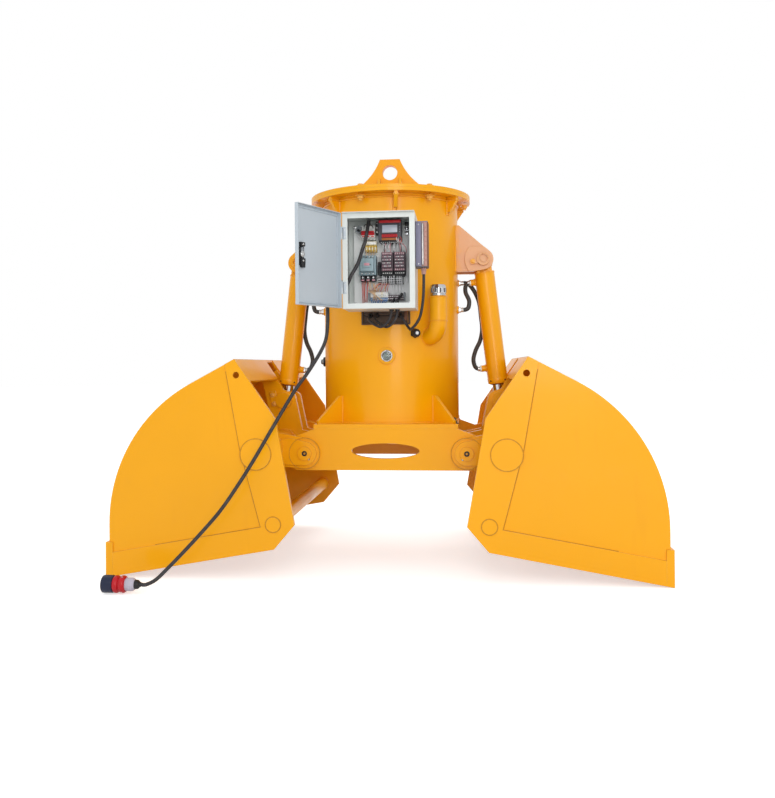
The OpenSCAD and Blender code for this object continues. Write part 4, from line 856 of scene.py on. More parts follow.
# The supply cord's route from its gland to its plug, as the solids have it (mm above the ground)
SUPPLY_ROUTE = [
    (-190, -524, 1215), (-199, -524.2, 1213.2), (-207.6, -524.5, 1208.6), (-214.6, -525, 1201.2),
    (-219.4, -525.6, 1191.6), (-222, -526.4, 1180), (-222.6, -527.6, 1160), (-221.6, -529, 1130),
    (-220, -531, 1090), (-221, -535, 1035), (-228, -541, 982),
    (-247, -548, 936), (-276, -558, 885), (-307, -575, 835), (-346, -600, 777),
    (-394, -636, 690), (-444, -662, 600), (-496, -690, 505), (-554, -715, 408),
    (-623, -742, 304), (-699, -768, 214), (-760, -795, 146), (-812, -825, 90),
    (-850, -852, 52), (-884, -865, 36), (-904, -865, 36),
]
# The cord runs on into the plug's grip
PLUG_AT, CORD_END = SUPPLY_ROUTE[-1], (-916, -865, 36)
INNER_ROUTE = [
    (-143.2, -524, 1215.2), (-138.2, -524, 1215.2), (-130, -525, 1228), (-122, -525, 1248),
    (-106, -520, 1276), (-89, -515, 1311), (-75, -505, 1362), (-64, -500, 1394),
    (-56, -485, 1447), (-54, -460, 1478), (-56, -425, 1491), (-60, -399, 1488),
    (-60, -394.2, 1477.5), (-60, -394.2, 1472.5),
]
GLAND_AT = (-154, -524, 1215.2)
LEFTWARD = (-1, 0, 0)


class BUCKET_OT_supply(bpy.types.Operator):
    """Makes the supply cord and the plug at its end, with the gland and the stretch inside the box"""

    bl_idname = "bucket.supply"
    bl_label = "Supply cord and plug"

    def execute(self, context):
        width = context.scene.bucket_sizes.cord_diameter
        route = [*SUPPLY_ROUTE, CORD_END]
        cord = strands("supply_cord", [(route, "cord rubber")], width / 2, UNIT,
                       ["supply_cable"], steps=5, sides=6)
        plug = self.plug(PLUG_AT)
        self.gland()
        strands("supply_lead", [(INNER_ROUTE, "cord rubber")], width / 2, UNIT,
                ["supply_lead_in"], sides=6)
        return {"FINISHED"}

    def gland(self):
        """A cable gland through the box's side, with a ribbed sleeve that tapers down the cord."""
        make = Maker()
        make.hexagon(GLAND_AT, LEFTWARD, 25.6, 7, "black polyamide", 1.0)
        make.hexagon((GLAND_AT[0] - 9, *GLAND_AT[1:]), LEFTWARD, 24, 9, "black polyamide")
        ribs = [(0, 17.5)]
        for k in range(5):
            r, h = 12.6 - 0.75 * k, 17.5 + 3.6 * k
            ribs += [(r, h), (r, h + 2.1), (r - 1.7, h + 2.4), (r - 1.7, h + 3.4)]
        make.lathe([*ribs, (7.6, 35.9), (0, 35.9)], GLAND_AT, LEFTWARD, "black polyamide", 32)
        inner = Vector(GLAND_AT) + Vector((2.5, 0, 0))
        make.hexagon(inner, (1, 0, 0), 25.6, 8, "black polyamide")
        make.done("supply_cord_gland", UNIT, ["supply_gland"])

    def plug(self, start):
        """An industrial plug: pale cord grip, two red collars with a groove, navy shroud, pins."""
        make = Maker()
        start = Vector(start)
        make.lathe([(0, 0), (8.6, 0), (10.5, 3), (10.5, 5), (14.5, 8), (17.4, 12), (18.2, 17),
                    (18.2, 24.5), (0, 24.5)], start, LEFTWARD, "black polyamide", 32)
        make.lathe([(0, 23.5), (19, 23.5), (24, 28), (26, 34), (26, 57), (24.5, 59.5), (0, 59.5)],
                   start, LEFTWARD, "pale grip polyamide", 48, 16, 0.05)
        make.lathe([(0, 59), (26, 59), (30.5, 61.5), (33, 66), (33.6, 71), (33, 76), (30.5, 80),
                    (26.5, 82.5), (26.5, 85), (31, 87.5), (33.5, 92), (34, 97), (33.4, 102), (31, 106),
                    (28, 107.5), (0, 107.5)], start, LEFTWARD, "red polyamide", 64)
        make.lathe([(0, 107), (31, 107), (33.4, 109.5), (33.8, 146), (33, 150), (31.6, 151.2),
                    (30.2, 150), (30, 114), (0, 114)], start, LEFTWARD, "navy polyamide", 64)
        # The rib that keys the plug, the screws round its collar and its five pins
        make.block(start + Vector((-145, -4, 32.6)), start + Vector((-110, 4, 34.6)),
                   "navy polyamide", 0.6, 1)
        for turn in (0.4, 2.5, 4.6):
            about = Matrix.Rotation(turn, 3, "X")
            at = start + about @ Vector((-70, 0, 33.4))
            make.screw(at, about @ Vector((0, 0, 1)), 2.6, "zinc-plated steel", 0.8)
        for turn in turns(5):
            at = start + Matrix.Rotation(turn, 3, "X") @ Vector((0, 0, 17))
            make.lathe([(0, 113), (4, 113), (4, 134), (2.6, 136.8), (0, 136.8)], at, LEFTWARD,
                       "brass", 16)
        return make.done("supply_plug_body", UNIT, ["supply_plug"])


# Points of the control leads in lead diameters from where they start, or from the drum's window
LEAD_D = 12
RECEIVER_FOOT = (178.4, -480, 1278.9)
RECEIVER_LEAD = [(0, 0, 0), (0, 0, -3.3), (-0.3, 0.5, -10.5), (-1.6, 1.7, -17), (-4.6, 3.7, -20.9)]
RECEIVER_END = [(3.2, -4.6, -4.5), (1, -4.2, -1), (0, -1.2, 0), (0, 0, 0)]
BOX_LEAD = [(0, 0, 2), (0, 0, 1), (0, 0, -1), (-1.2, 0.3, -4.2), (-4.2, 1.7, -6)]
BOX_END = [(0.5, -7.5, -2.2), (0, -2.2, -0.3), (0, -0.8, 0), (0, 0, 0)]
# The height at which the leads enter the drum's window, and where they do across it (mm)
WINDOW_MIDDLE, ENTRY_X = 1093.2, (65.66, -36.26, -65.66)
BOX_HOLES = ((66, -472, 1109.2), (42, -472, 1109.2))


def window_entry(k):
    """Where lead k meets the seal in the drum's window."""
    x = ENTRY_X[k]
    near = abs(x) - LEAD_D / 2
    return Vector((x, -math.sqrt(SEAL_FACE**2 - near**2) - 0.3, WINDOW_MIDDLE))


class BUCKET_OT_leads(bpy.types.Operator):
    """Makes the control leads between the receiver, the control box and the drum's window"""

    bl_idname = "bucket.leads"
    bl_label = "Control leads"

    def execute(self, context):
        radius = context.scene.bucket_sizes.lead_diameter / 2
        routes = [self.lead(RECEIVER_FOOT, RECEIVER_LEAD, 0, RECEIVER_END)]
        for k, hole in enumerate(BOX_HOLES):
            routes.append(self.lead(hole, BOX_LEAD, k + 1, BOX_END))
        strands("control_lead_set", [(r, "cord rubber") for r in routes], radius, UNIT,
                ["control_leads"], sides=5)
        make = Maker()
        for hole in BOX_HOLES:
            make.lathe([(6.2, -7), (9, -7), (10.5, -5), (10.5, -1.2), (8, -0.6), (8, 3), (10.5, 3.6),
                        (10.5, 6), (8.5, 8), (6.2, 8), (6.2, -7)], hole, UP, "black polyamide", 24)
        # The sleeve under the receiver is coloured pink: a painted highlight
        make.lathe([(6.1, -26), (8.2, -26), (9, -24), (9.6, -12), (11, -11), (11.5, -1), (11.5, 0.3),
                    (6.1, 0.3), (6.1, -26)], RECEIVER_FOOT, UP, "pink painted reflection", 24)
        make.done("lead_grommets", UNIT)
        # Inside the box the two leads rise to the terminals
        middle = INSIDE.inverted() @ ABOVE
        inner = []
        for hole, over, high in ((BOX_HOLES[0], 84, 60), (BOX_HOLES[1], 52, 40)):
            foot = middle @ (Vector(hole) + Vector((0, 0, 24)))
            tail = [foot, foot + Vector((1, -2, 10)), Vector((over - 6, 70, high - 6)),
                    Vector((over, 46, high + 6)), Vector((over + 1, 34, high + 10))]
            inner.append((tail, "cord rubber"))
        strands("lead_tails", inner, radius * 0.92, UNIT, place=INSIDE)
        return {"FINISHED"}

    def lead(self, start, shares, k, end_shares):
        start, entry = Vector(start), window_entry(k)
        return ([start + LEAD_D * Vector(s) for s in shares]
                + [entry + LEAD_D * Vector(s) for s in end_shares])


# Depths of the barrel's two ports below its pin
UPPER_PORT, LOWER_PORT = 95, 501.1
# For each hose its port, its fitting's turn round the drum in degrees and drop below the pin, and
# its route in hose diameters from the port and from the fitting
HOSE_D = 20
HOSES = (
    ("lower", LOWER_PORT, 6.2, 100,
     [(0, 0, 0), (-0.5, 0, 0), (-1.4, 0.4, 0.6), (-1.6, 1.2, 2.4), (-0.8, 1.8, 4.5), (0.5, 2.1, 6.6),
      (1.3, 2.1, 9.2), (1.4, 2.1, 12.2)],
     [(3.1, 0.4, -5), (2.4, 0.3, -2.4), (1.4, 0.1, -0.6), (0.5, 0, 0), (0, 0, 0)]),
    ("upper", UPPER_PORT, -5.5, 230,
     [(0, 0, 0), (-0.5, 0, 0), (-1.3, -0.4, -0.6), (-1.5, -1, -2.2)],
     [(1.5, 0.15, 2), (1.15, 0, 0.4), (0.5, 0, 0), (0, 0, 0)]),
)
PORT_X, FITTING_R = -68, 343.3


def hose_tip(azimuth, drop):
    """A hose's end on the drum's fitting, in the hanging cylinder's frame."""
    turn = math.radians(azimuth)
    out, down = FITTING_R * math.cos(turn) - TOP_PIN_X, -drop
    return Vector((
        out * math.cos(TILT) + down * math.sin(TILT),
        FITTING_R * math.sin(turn),
        down * math.cos(TILT) - out * math.sin(TILT),
    ))


class BUCKET_OT_hoses(bpy.types.Operator):
    """Makes the hydraulic hoses between the drum and the barrels, with their crimped ends"""

    bl_idname = "bucket.hoses"
    bl_label = "Hydraulic hoses"

    def execute(self, context):
        radius = context.scene.bucket_sizes.hose_diameter / 2
        for name, side in SIDES:
            place = on_cylinder(side)
            ends = Maker(place)
            taps = Maker()
            for which, depth, azimuth, drop, shares, end_shares in HOSES:
                port, tip = Vector((PORT_X, 0, -depth)), hose_tip(azimuth, drop)
                route = [port + HOSE_D * Vector(s) for s in shares]
                route += [tip + HOSE_D * Vector(s) for s in end_shares]
                hose = strand_curve("run", [(route, "hose rubber")], radius, place, 6, 4)
                piece = settle(as_mesh(f"hose_{which}_{name}", hose), None,
                               [f"hoses_{name}"])
                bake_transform(piece)
                self.port_end(ends, port)
                self.drum_end(taps, side, azimuth, TOP_PIN_Z - drop)
            ends.done(f"hose_ends_{name}", f"cylinder_{name}")
            taps.done(f"hose_taps_{name}", UNIT)
        return {"FINISHED"}

    def port_end(self, make, port):
        """An adaptor screwed into the barrel's port, and the hose's nut and ferrule."""
        make.hexagon(port + Vector((2, 0, 0)), LEFTWARD, 25, 9, "zinc-plated steel")
        make.lathe([(0, 8), (11.8, 8), (11.8, 10), (10.9, 10.8), (10.9, 12.6), (11.8, 13.2), (11.8, 15.4),
                    (10.9, 16), (0, 16)], port, LEFTWARD, "zinc-plated steel", 24)

    def drum_end(self, make, side, azimuth, height):
        """A bulkhead tap on the drum: weld boss, nut and ferrule."""
        turn = math.radians(azimuth)
        out = Vector((side * math.cos(turn), math.sin(turn), 0))
        at = out * DRUM_R + Vector((0, 0, height))
        make.lathe([(0, -4), (19, -4), (18, 4), (16, 6), (0, 6)], at, out, "orange enamel", 24)
        make.hexagon(at + out * 6, out, 23, 9, "zinc-plated steel")
        make.lathe([(0, 14), (11.7, 14), (11.7, 18), (10.9, 19), (10.9, 21), (11.7, 22), (11.7, 27.6),
                    (10.8, 28.3), (0, 28.3)], at, out, "zinc-plated steel", 24)


# The control box

# Heights of the hinge leaves' feet above the box's floor, and of that floor above the ground
LEAF_FEET, BOX_FLOOR = (60, 286), 1111.2
# The seal's outer edges on the door, and its width
SEAL_X, SEAL_Z, SEAL_WIDE = (17, 291), (9, 383), 7
# The latch's spindle on the door, across from the door's hinge and up
LATCH_AT = (266, 0, 196)


class BUCKET_OT_cabinet(bpy.types.Operator):
    """Makes the box's rain lip, hinge leaves, door seal, studs and the plate's screws"""

    bl_idname = "bucket.cabinet"
    bl_label = "Cabinet trim"

    def execute(self, context):
        make = Maker()
        # A folded rain lip along the top edge
        make.plate([(-550, 1504.4), (-550, 1505.6), (-566, 1507.4), (-568.6, 1504.2), (-567.8, 1503.9),
                    (-565.8, 1506)], -153.5, 145.5, "lit box powder coat", 0.0, SIDEWAYS)
        make.done("box_rain_lip", UNIT)
        make = Maker()
        for foot in LEAF_FEET:
            base = BOX_FLOOR + foot
            make.block((-150, -550.9, base), (-138, -549.9, base + 50), "grey powder coat", 0.3)
            # A black strip left of each leaf: painted shadow beside the leaf
            make.block((-153, -551.2, base + 2), (-150.2, -550.2, base + 48), "black polyamide", 0.2)
            for dz in (11, 39):
                make.disc(2.6, 0, 0.4, (-144, -550.8, base + dz), (0, -1, 0), "zinc-plated steel", 16)
        make.done("hinge_leaves", UNIT)
        make = Maker(ON_DOOR)
        (left, right), (low, high), wide = SEAL_X, SEAL_Z, SEAL_WIDE
        for x, z in (((left, right), (low, low + wide)), ((left, right), (high - wide, high)),
                     ((left, left + wide), (low + wide, high - wide)),
                     ((right - wide, right), (low + wide, high - wide))):
            make.block((x[0], -7.6, z[0]), (x[1], -4.3, z[1]), "pale foam rubber", 1.5)
        make.done("door_seal", "door")
        make = Maker(INSIDE)
        for x in (-119, 119):
            for z in (32, 364):
                make.hexagon((x, 0, z), (0, 1, 0), 10, 5, "zinc-plated steel", 1.2)
        make.disc(5, 0, 5, (-116, 0, 200), (0, 1, 0), "brass", 16)
        make.done("plate_nuts", UNIT)
        return {"FINISHED"}


class BUCKET_OT_latch(bpy.types.Operator):
    """Makes the door's swing handle and its cam, and the housing that they turn in"""

    bl_idname = "bucket.latch"
    bl_label = "Door latch"

    def execute(self, context):
        axis = ON_DOOR @ Matrix.Translation(LATCH_AT)
        make = Maker(axis)
        # Housing on the door's inside, low under the cam's sweep and thicker below it
        make.plate([(-15, -44), (12, -44), (15, -41), (15, 27), (12, 29), (-12, 29), (-15, 27)],
                   -7.5, -3.8, "black polyamide", 0.5)
        make.plate([(-11, -52), (8, -52), (13, -34), (13, -16), (-13, -16), (-13, -34)],
                   -7.5, 5.5, "black polyamide", 1.2)
        make.plate([(-13, 30), (13, 30), (13, 46), (-13, 46)], -7.5, 4.5, "black polyamide", 1.2)
        make.screw((2, 5.2, -26), (0, 1, 0), 4.2)
        make.screw((0, 4.2, 38), (0, 1, 0), 4.2)
        # Escutcheon on the outside
        make.plate([(-17, -90), (17, -90), (17, 36), (-17, 36)], -12.4, -10.1, "black polyamide", 0.9)
        make.done("latch_housing", "door")
        make = Maker(axis)
        make.lathe([(0, -15), (8.8, -15), (8.8, 2.0), (8, 2.6), (0, 2.6)], (0, 0, 0), (0, 1, 0),
                   "zinc-plated steel", 24)
        # The cam: round its spindle, then round its tip
        rim = [(9 * math.cos(t), 9 * math.sin(t)) for t in [math.pi + math.pi * k / 12 for k in range(13)]]
        tip = [(6 * math.cos(t), 21 + 6 * math.sin(t)) for t in [math.pi * k / 8 for k in range(9)]]
        make.plate(rim + tip, -3.5, 0.5, "grey polycarbonate", 0.6)
        make.hexagon((0, 0.5, 0), (0, 1, 0), 13, 4.5, "zinc-plated steel", 1.2)
        # Swing handle on the outside, waisted and rounded, with its key barrel
        grip = [(-12, 24), (-9, 27.5), (9, 27.5), (12, 24), (12, -8), (9.5, -22), (9.5, -66), (11, -78),
                (8, -82.5), (-8, -82.5), (-11, -78), (-9.5, -66), (-9.5, -22), (-12, -8)]
        make.plate(grip, -20.4, -12.6, "black polyamide", 2.2)
        make.disc(6.5, 0, 1.6, (0, -20.2, 8), (0, -1, 0), "hard chrome", 24)
        make.block((-0.8, -22.1, 4), (0.8, -21.6, 12), "black polyamide")
        make.done("swing_handle", "latch", ["door_latch"])
        return {"FINISHED"}


# Left edges of the breaker's poles, their pitch, and the pitch of the terminals (mm)
POLE_PITCH, TERMINAL_PITCH = 19, 7.59
POLES = [-83 + POLE_PITCH * k for k in range(3)]
# The toggles' axle from the left pole on, and how far they are tipped at rest
TOGGLE_AT, TOGGLE_TIP = (POLES[0], 70, 324.6), math.radians(30)
WIRE_RADIUS = 1.7


class BUCKET_OT_breakers(bpy.types.Operator):
    """Makes the three-pole breaker with its ganged red toggles, and the fuse holders below it"""

    bl_idname = "bucket.breakers"
    bl_label = "Breakers and fuses"

    def execute(self, context):
        make = Maker(INSIDE)
        for x in POLES:
            make.profile([(0, 303), (43, 303), (43.4, 308), (60, 309.5), (66, 312), (67.5, 316),
                          (67.5, 333), (66, 338), (60, 342), (43.4, 343), (43, 363), (0, 363)],
                         x, x + 18, "white polycarbonate", 0.7)
            make.block((x + 2.5, 67, 318), (x + 15.5, 67.9, 322), "red polycarbonate", 0.3)
            make.block((x + 2, 63, 333), (x + 16, 67.8, 337), "grey polycarbonate", 0.3)
            for z in (355, 306):
                make.disc(4.2, -1, 0.4, (x + 9, 43.4, z), (0, 1, 0), "black polyamide", 16)
                make.screw((x + 9, 43.2, z), (0, 1, 0), 3.1)
            make.block((x + 3, 66.5, 311), (x + 15, 68.1, 315.5), "red polycarbonate", 0.4)
        make.case((-66, -21), (281, 296.3), (0, 42), "cream polycarbonate", 1.6)
        make.case((-63, -24), (284, 293), (42, 43.2), "white polycarbonate", 0.4)
        for k in range(4):
            x = -70 + 12.4 * k
            make.case((x, x + 10.6), (252, 280), (0, 36), "yellow polyamide", 1.6)
            make.case((x + 2, x + 8.6), (260, 272), (36, 39), "cream polycarbonate", 1.2)
            make.screw((x + 5.3, 36, 255.8), (0, 1, 0), 2.2)
            make.case((x - 1.4, x), (252, 276), (0, 30), "amber polyamide", 0.2)
        leaning = Matrix.Rotation(math.radians(24), 3, "Y")
        make.case((-110, -88), (336, 366), (0, 26), "grey polycarbonate", 1.5, leaning)
        make.case((-106, -92), (341, 351), (26, 29), "black polyamide", 1.0, leaning)
        make.case((-23.5, -13), (326, 378), (0, 52), "black polyamide", 1.4)
        for z in (334, 352, 370):
            make.screw((-18.2, 52, z), (0, 1, 0), 2.6)
        make.done("breaker_set", UNIT, ["main_breakers"])

        axis = INSIDE @ Matrix.Translation(TOGGLE_AT) @ Matrix.Rotation(TOGGLE_TIP, 4, "X")
        make = Maker(axis)
        make.disc(5.8, 0.2, 55.8, (0, 0, 0), (1, 0, 0), "red polycarbonate", 24, 0.6)
        for k in range(3):
            x = POLE_PITCH * k
            make.block((x + 4, 3, -3), (x + 14, 17, 3), "red polycarbonate", 1.4)
        make.block((0.4, 11.4, -2.9), (55.6, 17, 2.9), "red polycarbonate", 1.6)
        make.done("ganged_toggles", "toggle", ["breaker_toggle"])
        return {"FINISHED"}


class BUCKET_OT_contactor(bpy.types.Operator):
    """Makes the stepped contactor with its terminal screws, window and wire guards"""

    bl_idname = "bucket.contactor"
    bl_label = "Contactor"

    def execute(self, context):
        make = Maker(INSIDE)
        make.case((-94.5, -22.5), (150.1, 234.1), (0, 62), "grey-green ABS", 2.0)
        make.case((-87, -30), (164.7, 219), (61, 88), "grey-green ABS", 2.4)
        make.case((-76.5, -40.5), (180.2, 204), (87, 94), "grey-green ABS", 1.4)
        make.case((-70, -47), (187, 198), (94, 94.8), "pink polyamide", 0.5)
        make.disc(2.4, 0, 1, (-43.6, 94, 191), (0, 1, 0), "black polyamide", 16)
        for x in (-82, -66, -50, -35):
            for z in (227, 157):
                make.disc(4.4, -2, 0.3, (x, 62, z), (0, 1, 0), "black polyamide", 16)
                make.screw((x, 61.6, z), (0, 1, 0), 3.3)
        for k in range(5):
            x = -86.5 + 14 * k
            make.case((x, x + 1.6), (219.5, 233), (60, 70), "grey-green ABS", 0.4)
            make.case((x, x + 1.6), (151, 164), (60, 70), "grey-green ABS", 0.4)
        for k in range(3):
            x = -91 + 22.8 * k
            make.case((x, x + 20), (125, 150.4), (4, 48), "black polyamide", 1.6)
            make.screw((x + 10, 48, 141), (0, 1, 0), 4.2)
            make.case((x + 4, x + 16), (127, 133), (46, 50), "pink polyamide", 0.6)
        make.done("contactor_dressed", UNIT, ["contactor"])
        return {"FINISHED"}


class BUCKET_OT_relays(bpy.types.Operator):
    """Makes the two control relays on their sockets, with rows of small terminals"""

    bl_idname = "bucket.relays"
    bl_label = "Relays"

    def execute(self, context):
        make = Maker(INSIDE)
        for x0 in (0, 53.1):
            make.case((x0, x0 + 50.1), (150.1, 166), (0, 54), "black polyamide", 1.6)
            make.case((x0 + 6, x0 + 44), (145, 158), (6, 50), "black polyamide", 1.2)
            make.case((x0, x0 + 50.1), (166.3, 246.3), (0, 60), "dusky polyamide", 2.0)
            make.case((x0 + 4.8, x0 + 45.3), (178.2, 233.6), (59, 78), "dusky polyamide", 1.6)
            for k in range(5):
                x = x0 + 8.4 + 8.3 * k
                make.case((x - 3, x + 3), (235.5, 244.5), (60, 63), "pink polyamide", 0.8)
                make.screw((x, 63, 240), (0, 1, 0), 2.0)
                make.case((x - 3, x + 3), (168.5, 176.5), (60, 63), "pink polyamide", 0.8)
                make.screw((x, 63, 172.5), (0, 1, 0), 2.0)
                make.screw((x, 54, 157.5), (0, 1, 0), 2.2, "white polycarbonate")
            for k in range(6):
                x = x0 + 9 + 6.4 * k
                for row in range(4):
                    z = 185 + 13.2 * row
                    make.case((x - 1.9, x + 1.9), (z - 1.6, z + 1.6), (78, 79.4),
                              ("white polycarbonate", "pink polyamide")[(k + row) % 3 == 0], 0.4)
            make.case((x0 + 5.4, x0 + 44.7), (203.6, 206.2), (77.6, 80.2), "black polyamide", 0.4)
        make.case((-16, -4), (150, 208), (0, 40), "black polyamide", 1.4)
        make.done("relay_pair", UNIT, ["relay_group"])
        return {"FINISHED"}


class BUCKET_OT_monitor(bpy.types.Operator):
    """Makes the motor protection unit with its display, ribbed red band, terminals and rotary switch"""

    bl_idname = "bucket.monitor"
    bl_label = "Protection unit"

    def execute(self, context):
        make = Maker(INSIDE)
        make.case((-12, 87), (297, 383.8), (0, 58), "anthracite polyamide", 2.4)
        make.case((-9, 84), (371, 382.6), (57, 60.5), "red polycarbonate", 1.2)
        make.case((1, 74), (324.5, 365), (57, 63), "anthracite polyamide", 1.8)
        make.case((5.4, 69.3), (329.5, 361), (62.4, 64.6), "liquid crystal display", 0.6)
        for k in range(13):
            x = 4 + 5 * k
            make.case((x, x + 3.8), (308.6, 322.6), (57, 66), "red polycarbonate", 1.1)
        make.case((3, 70), (310, 321), (57, 62), "red polycarbonate", 0.8)
        for k in range(3):
            make.disc(2.6, 0, 1.6, (79, 58, 333 + 10 * k), (0, 1, 0), "grey polycarbonate", 16)
        make.case((3, 71), (297.4, 306.6), (57, 61), "amber polyamide", 0.8)
        make.case((-10, 86), (290, 297.6), (0, 54), "black polyamide", 1.0)
        for k in range(9):
            x = 9 * k
            make.case((x - 3.4, x + 3.4), (284, 293), (20, 50), "black polyamide", 0.8)
            make.screw((x, 50, 289), (0, 1, 0), 2.4)
        # Rotary switch to the right of the unit
        make.lathe([(0, 0), (11, 0), (11, 26), (10, 28), (0, 28)], (108, 0, 350), (0, 1, 0),
                   "black polyamide", 32)
        make.ring(11.6, 8.8, 26, 30, (108, 0, 350), (0, 1, 0), "hard chrome", 32)
        make.case((105.6, 110.4), (341, 359), (28, 41), "hard chrome", 1.6)
        make.case((98.5, 117), (365, 379), (0, 24), "black polyamide", 1.6)
        make.case((100, 115.5), (324, 336), (0, 22), "hard chrome", 1.8)
        make.done("protection_unit", UNIT, ["phase_monitor"])
        return {"FINISHED"}


class BUCKET_OT_terminals(bpy.types.Operator):
    """Makes the rows of terminals on their rails"""

    bl_idname = "bucket.terminals"
    bl_label = "Terminals"

    def execute(self, context):
        make = Maker(INSIDE)
        for low, high in ((-55, 31), (20, 98)):
            make.case((low, high), (53, 63), (0, 7.5), "zinc-plated steel", 0.8)
        for k in range(10):
            x = -50.1 + TERMINAL_PITCH * k
            make.profile([(4, 41.6), (26, 41.6), (30, 46), (30, 55), (34, 58), (34, 74), (29, 79),
                          (24, 83.6), (4, 83.6)], x, x + 6.9,
                         ("white polycarbonate", "cream polycarbonate")[k % 4 == 2], 0.5)
            make.case((x + 0.4, x + 6.5), (42.4, 55), (28, 31.4), "blue polyamide", 0.6)
            make.screw((x + 3.4, 33.6, 66), (0, 1, 0), 2.3)
            make.screw((x + 3.4, 31, 49), (0, 1, 0), 2.1)
        for k in range(9):
            x = 24.9 + TERMINAL_PITCH * k
            make.case((x, x + 6.8), (44, 67), (4, 31), "dusky polyamide", 0.8)
            make.disc(1.9, 0, 4, (x + 3.4, 31, 60), (0, 1, 0), "zinc-plated steel", 12)
            make.disc(1.9, 0, 4, (x + 3.4, 31, 50), (0, 1, 0), "zinc-plated steel", 12)
        for x in (-57, 27, 95):
            make.case((x - 3, x + 3), (44, 78), (2, 30), "grey polycarbonate", 0.9)
        make.done("terminal_rows", UNIT, ["terminal_strips"])
        return {"FINISHED"}


class BUCKET_OT_wiring(bpy.types.Operator):
    """Runs the single wires between the devices, in loops that are the same each time"""

    bl_idname = "bucket.wiring"
    bl_label = "Box wiring"

    def execute(self, context):
        draw = random.Random(20)
        wires = []

        def run(finish, start, end, bow, sway):
            """One wire between two points, bowed outwards and a little to one side."""
            a, b = Vector(start), Vector(end)
            aside = Vector((draw.uniform(-sway, sway), bow * draw.uniform(0.7, 1.2), 0))
            wires.append(([a, a.lerp(b, 0.12) + aside * 0.55, a.lerp(b, 0.45) + aside,
                           a.lerp(b, 0.8) + aside * 0.7, b], finish))

        def fan(count, finishes, start, step, end, end_step, bow, sway):
            """Wires side by side: each starts and ends one step on from the one before."""
            for k in range(count):
                run(finishes[k % len(finishes)], [at + k * by for at, by in zip(start, step)],
                    [at + k * by for at, by in zip(end, end_step)], bow, sway)

        red, pink, beige, black, white, blue = (
            [f"{shade} PVC"] for shade in ("red", "pink", "beige", "black", "white", "blue"))
        pitch = TERMINAL_PITCH
        # Thick red leads from the contactor down to the terminals and to the floor of the box
        fan(4, red, (-86, 30, 127), (7.5, 0, 0), (-84, 26, 34), (6, 3, 2), 18, 3)
        run("pink PVC", (-58, 34, 127), (-66, 30, 36), 16, 3)
        fan(5, beige, (-56, 34, 126), (8, 0, -3), (-48, 29, 82), (pitch, 0, 0), 20, 3)
        fan(5, beige, (-62, 30, 88), (9, 0, 0), (10, 26, 38), (-12, 0, 0), 16, 4)
        fan(10, pink + beige + red, (-14, 22, 118), (5, 0, 0), (-47, 26, 82.5), (pitch, 0, 0), 22, 4)
        # The harness under the relays: black and white wires side by side
        for k in range(7):
            z = 112 + 4.6 * k
            run((black + white)[k % 2], (-18 + draw.uniform(-4, 4), 18 + 2 * k, z),
                (86 + draw.uniform(-6, 4), 20 + 2 * k, z + 2), 6, 2)
        fan(12, white * 3 + black, (4, 40, 150), (8, 0, 0), (2, 26, 112), (8.2, 0, 0), 16, 3)
        fan(9, white, (28, 22, 112), (7.4, 0, 0), (28, 30, 66), (pitch, 0, 0), 18, 4)
        fan(10, blue, (-46, 30, 44), (pitch, 0, 0), (-40, 16, 24), (6, 0, 0), 10, 4)
        fan(4, black, (30, 28, 46), (12, 0, 0), (46, 22, 26), (8, 0, 0), 12, 5)
        # Loops above the relays, under the protection unit
        for k in range(18):
            x = 2 + 6 * k
            run((white * 2 + pink + black + white)[k % 5], (min(x, 82) + draw.uniform(-2, 2), 42, 286),
                (x + draw.uniform(-8, 8), 40, 243), 26, 12)
        fan(5, white + red, (70, 46, 322), (4, 0, -6), (76, 44, 282), (5, 0, 0), 22, 10)
        # Tails round the breakers and the fuse holders
        fan(5, white + black + white, (-104, 12, 338), (5, 0, 0), (-80, 40, 306), (4, 0, 0), 24, 6)
        fan(4, beige, (-65, 34, 254), (12.4, 0, 0), (-68, 56, 229), (12, 0, 0), 12, 3)
        fan(3, black, (-74, 44, 358), (POLE_PITCH, 0, 0), (-66, 26, 372), (5, 0, 0), 12, 3)
        fan(5, black, (-12, 36, 206), (2.4, 0, -6), (-10, 30, 150), (2, 0, 0), 10, 3)
        fan(3, white, (112, 14, 330), (2, 0, 0), (108, 18, 120), (-3, 0, 0), 12, 6)
        strands("box_wires", wires, WIRE_RADIUS * MM, UNIT,
                ["box_wiring"], INSIDE, 5, 1)
        return {"FINISHED"}


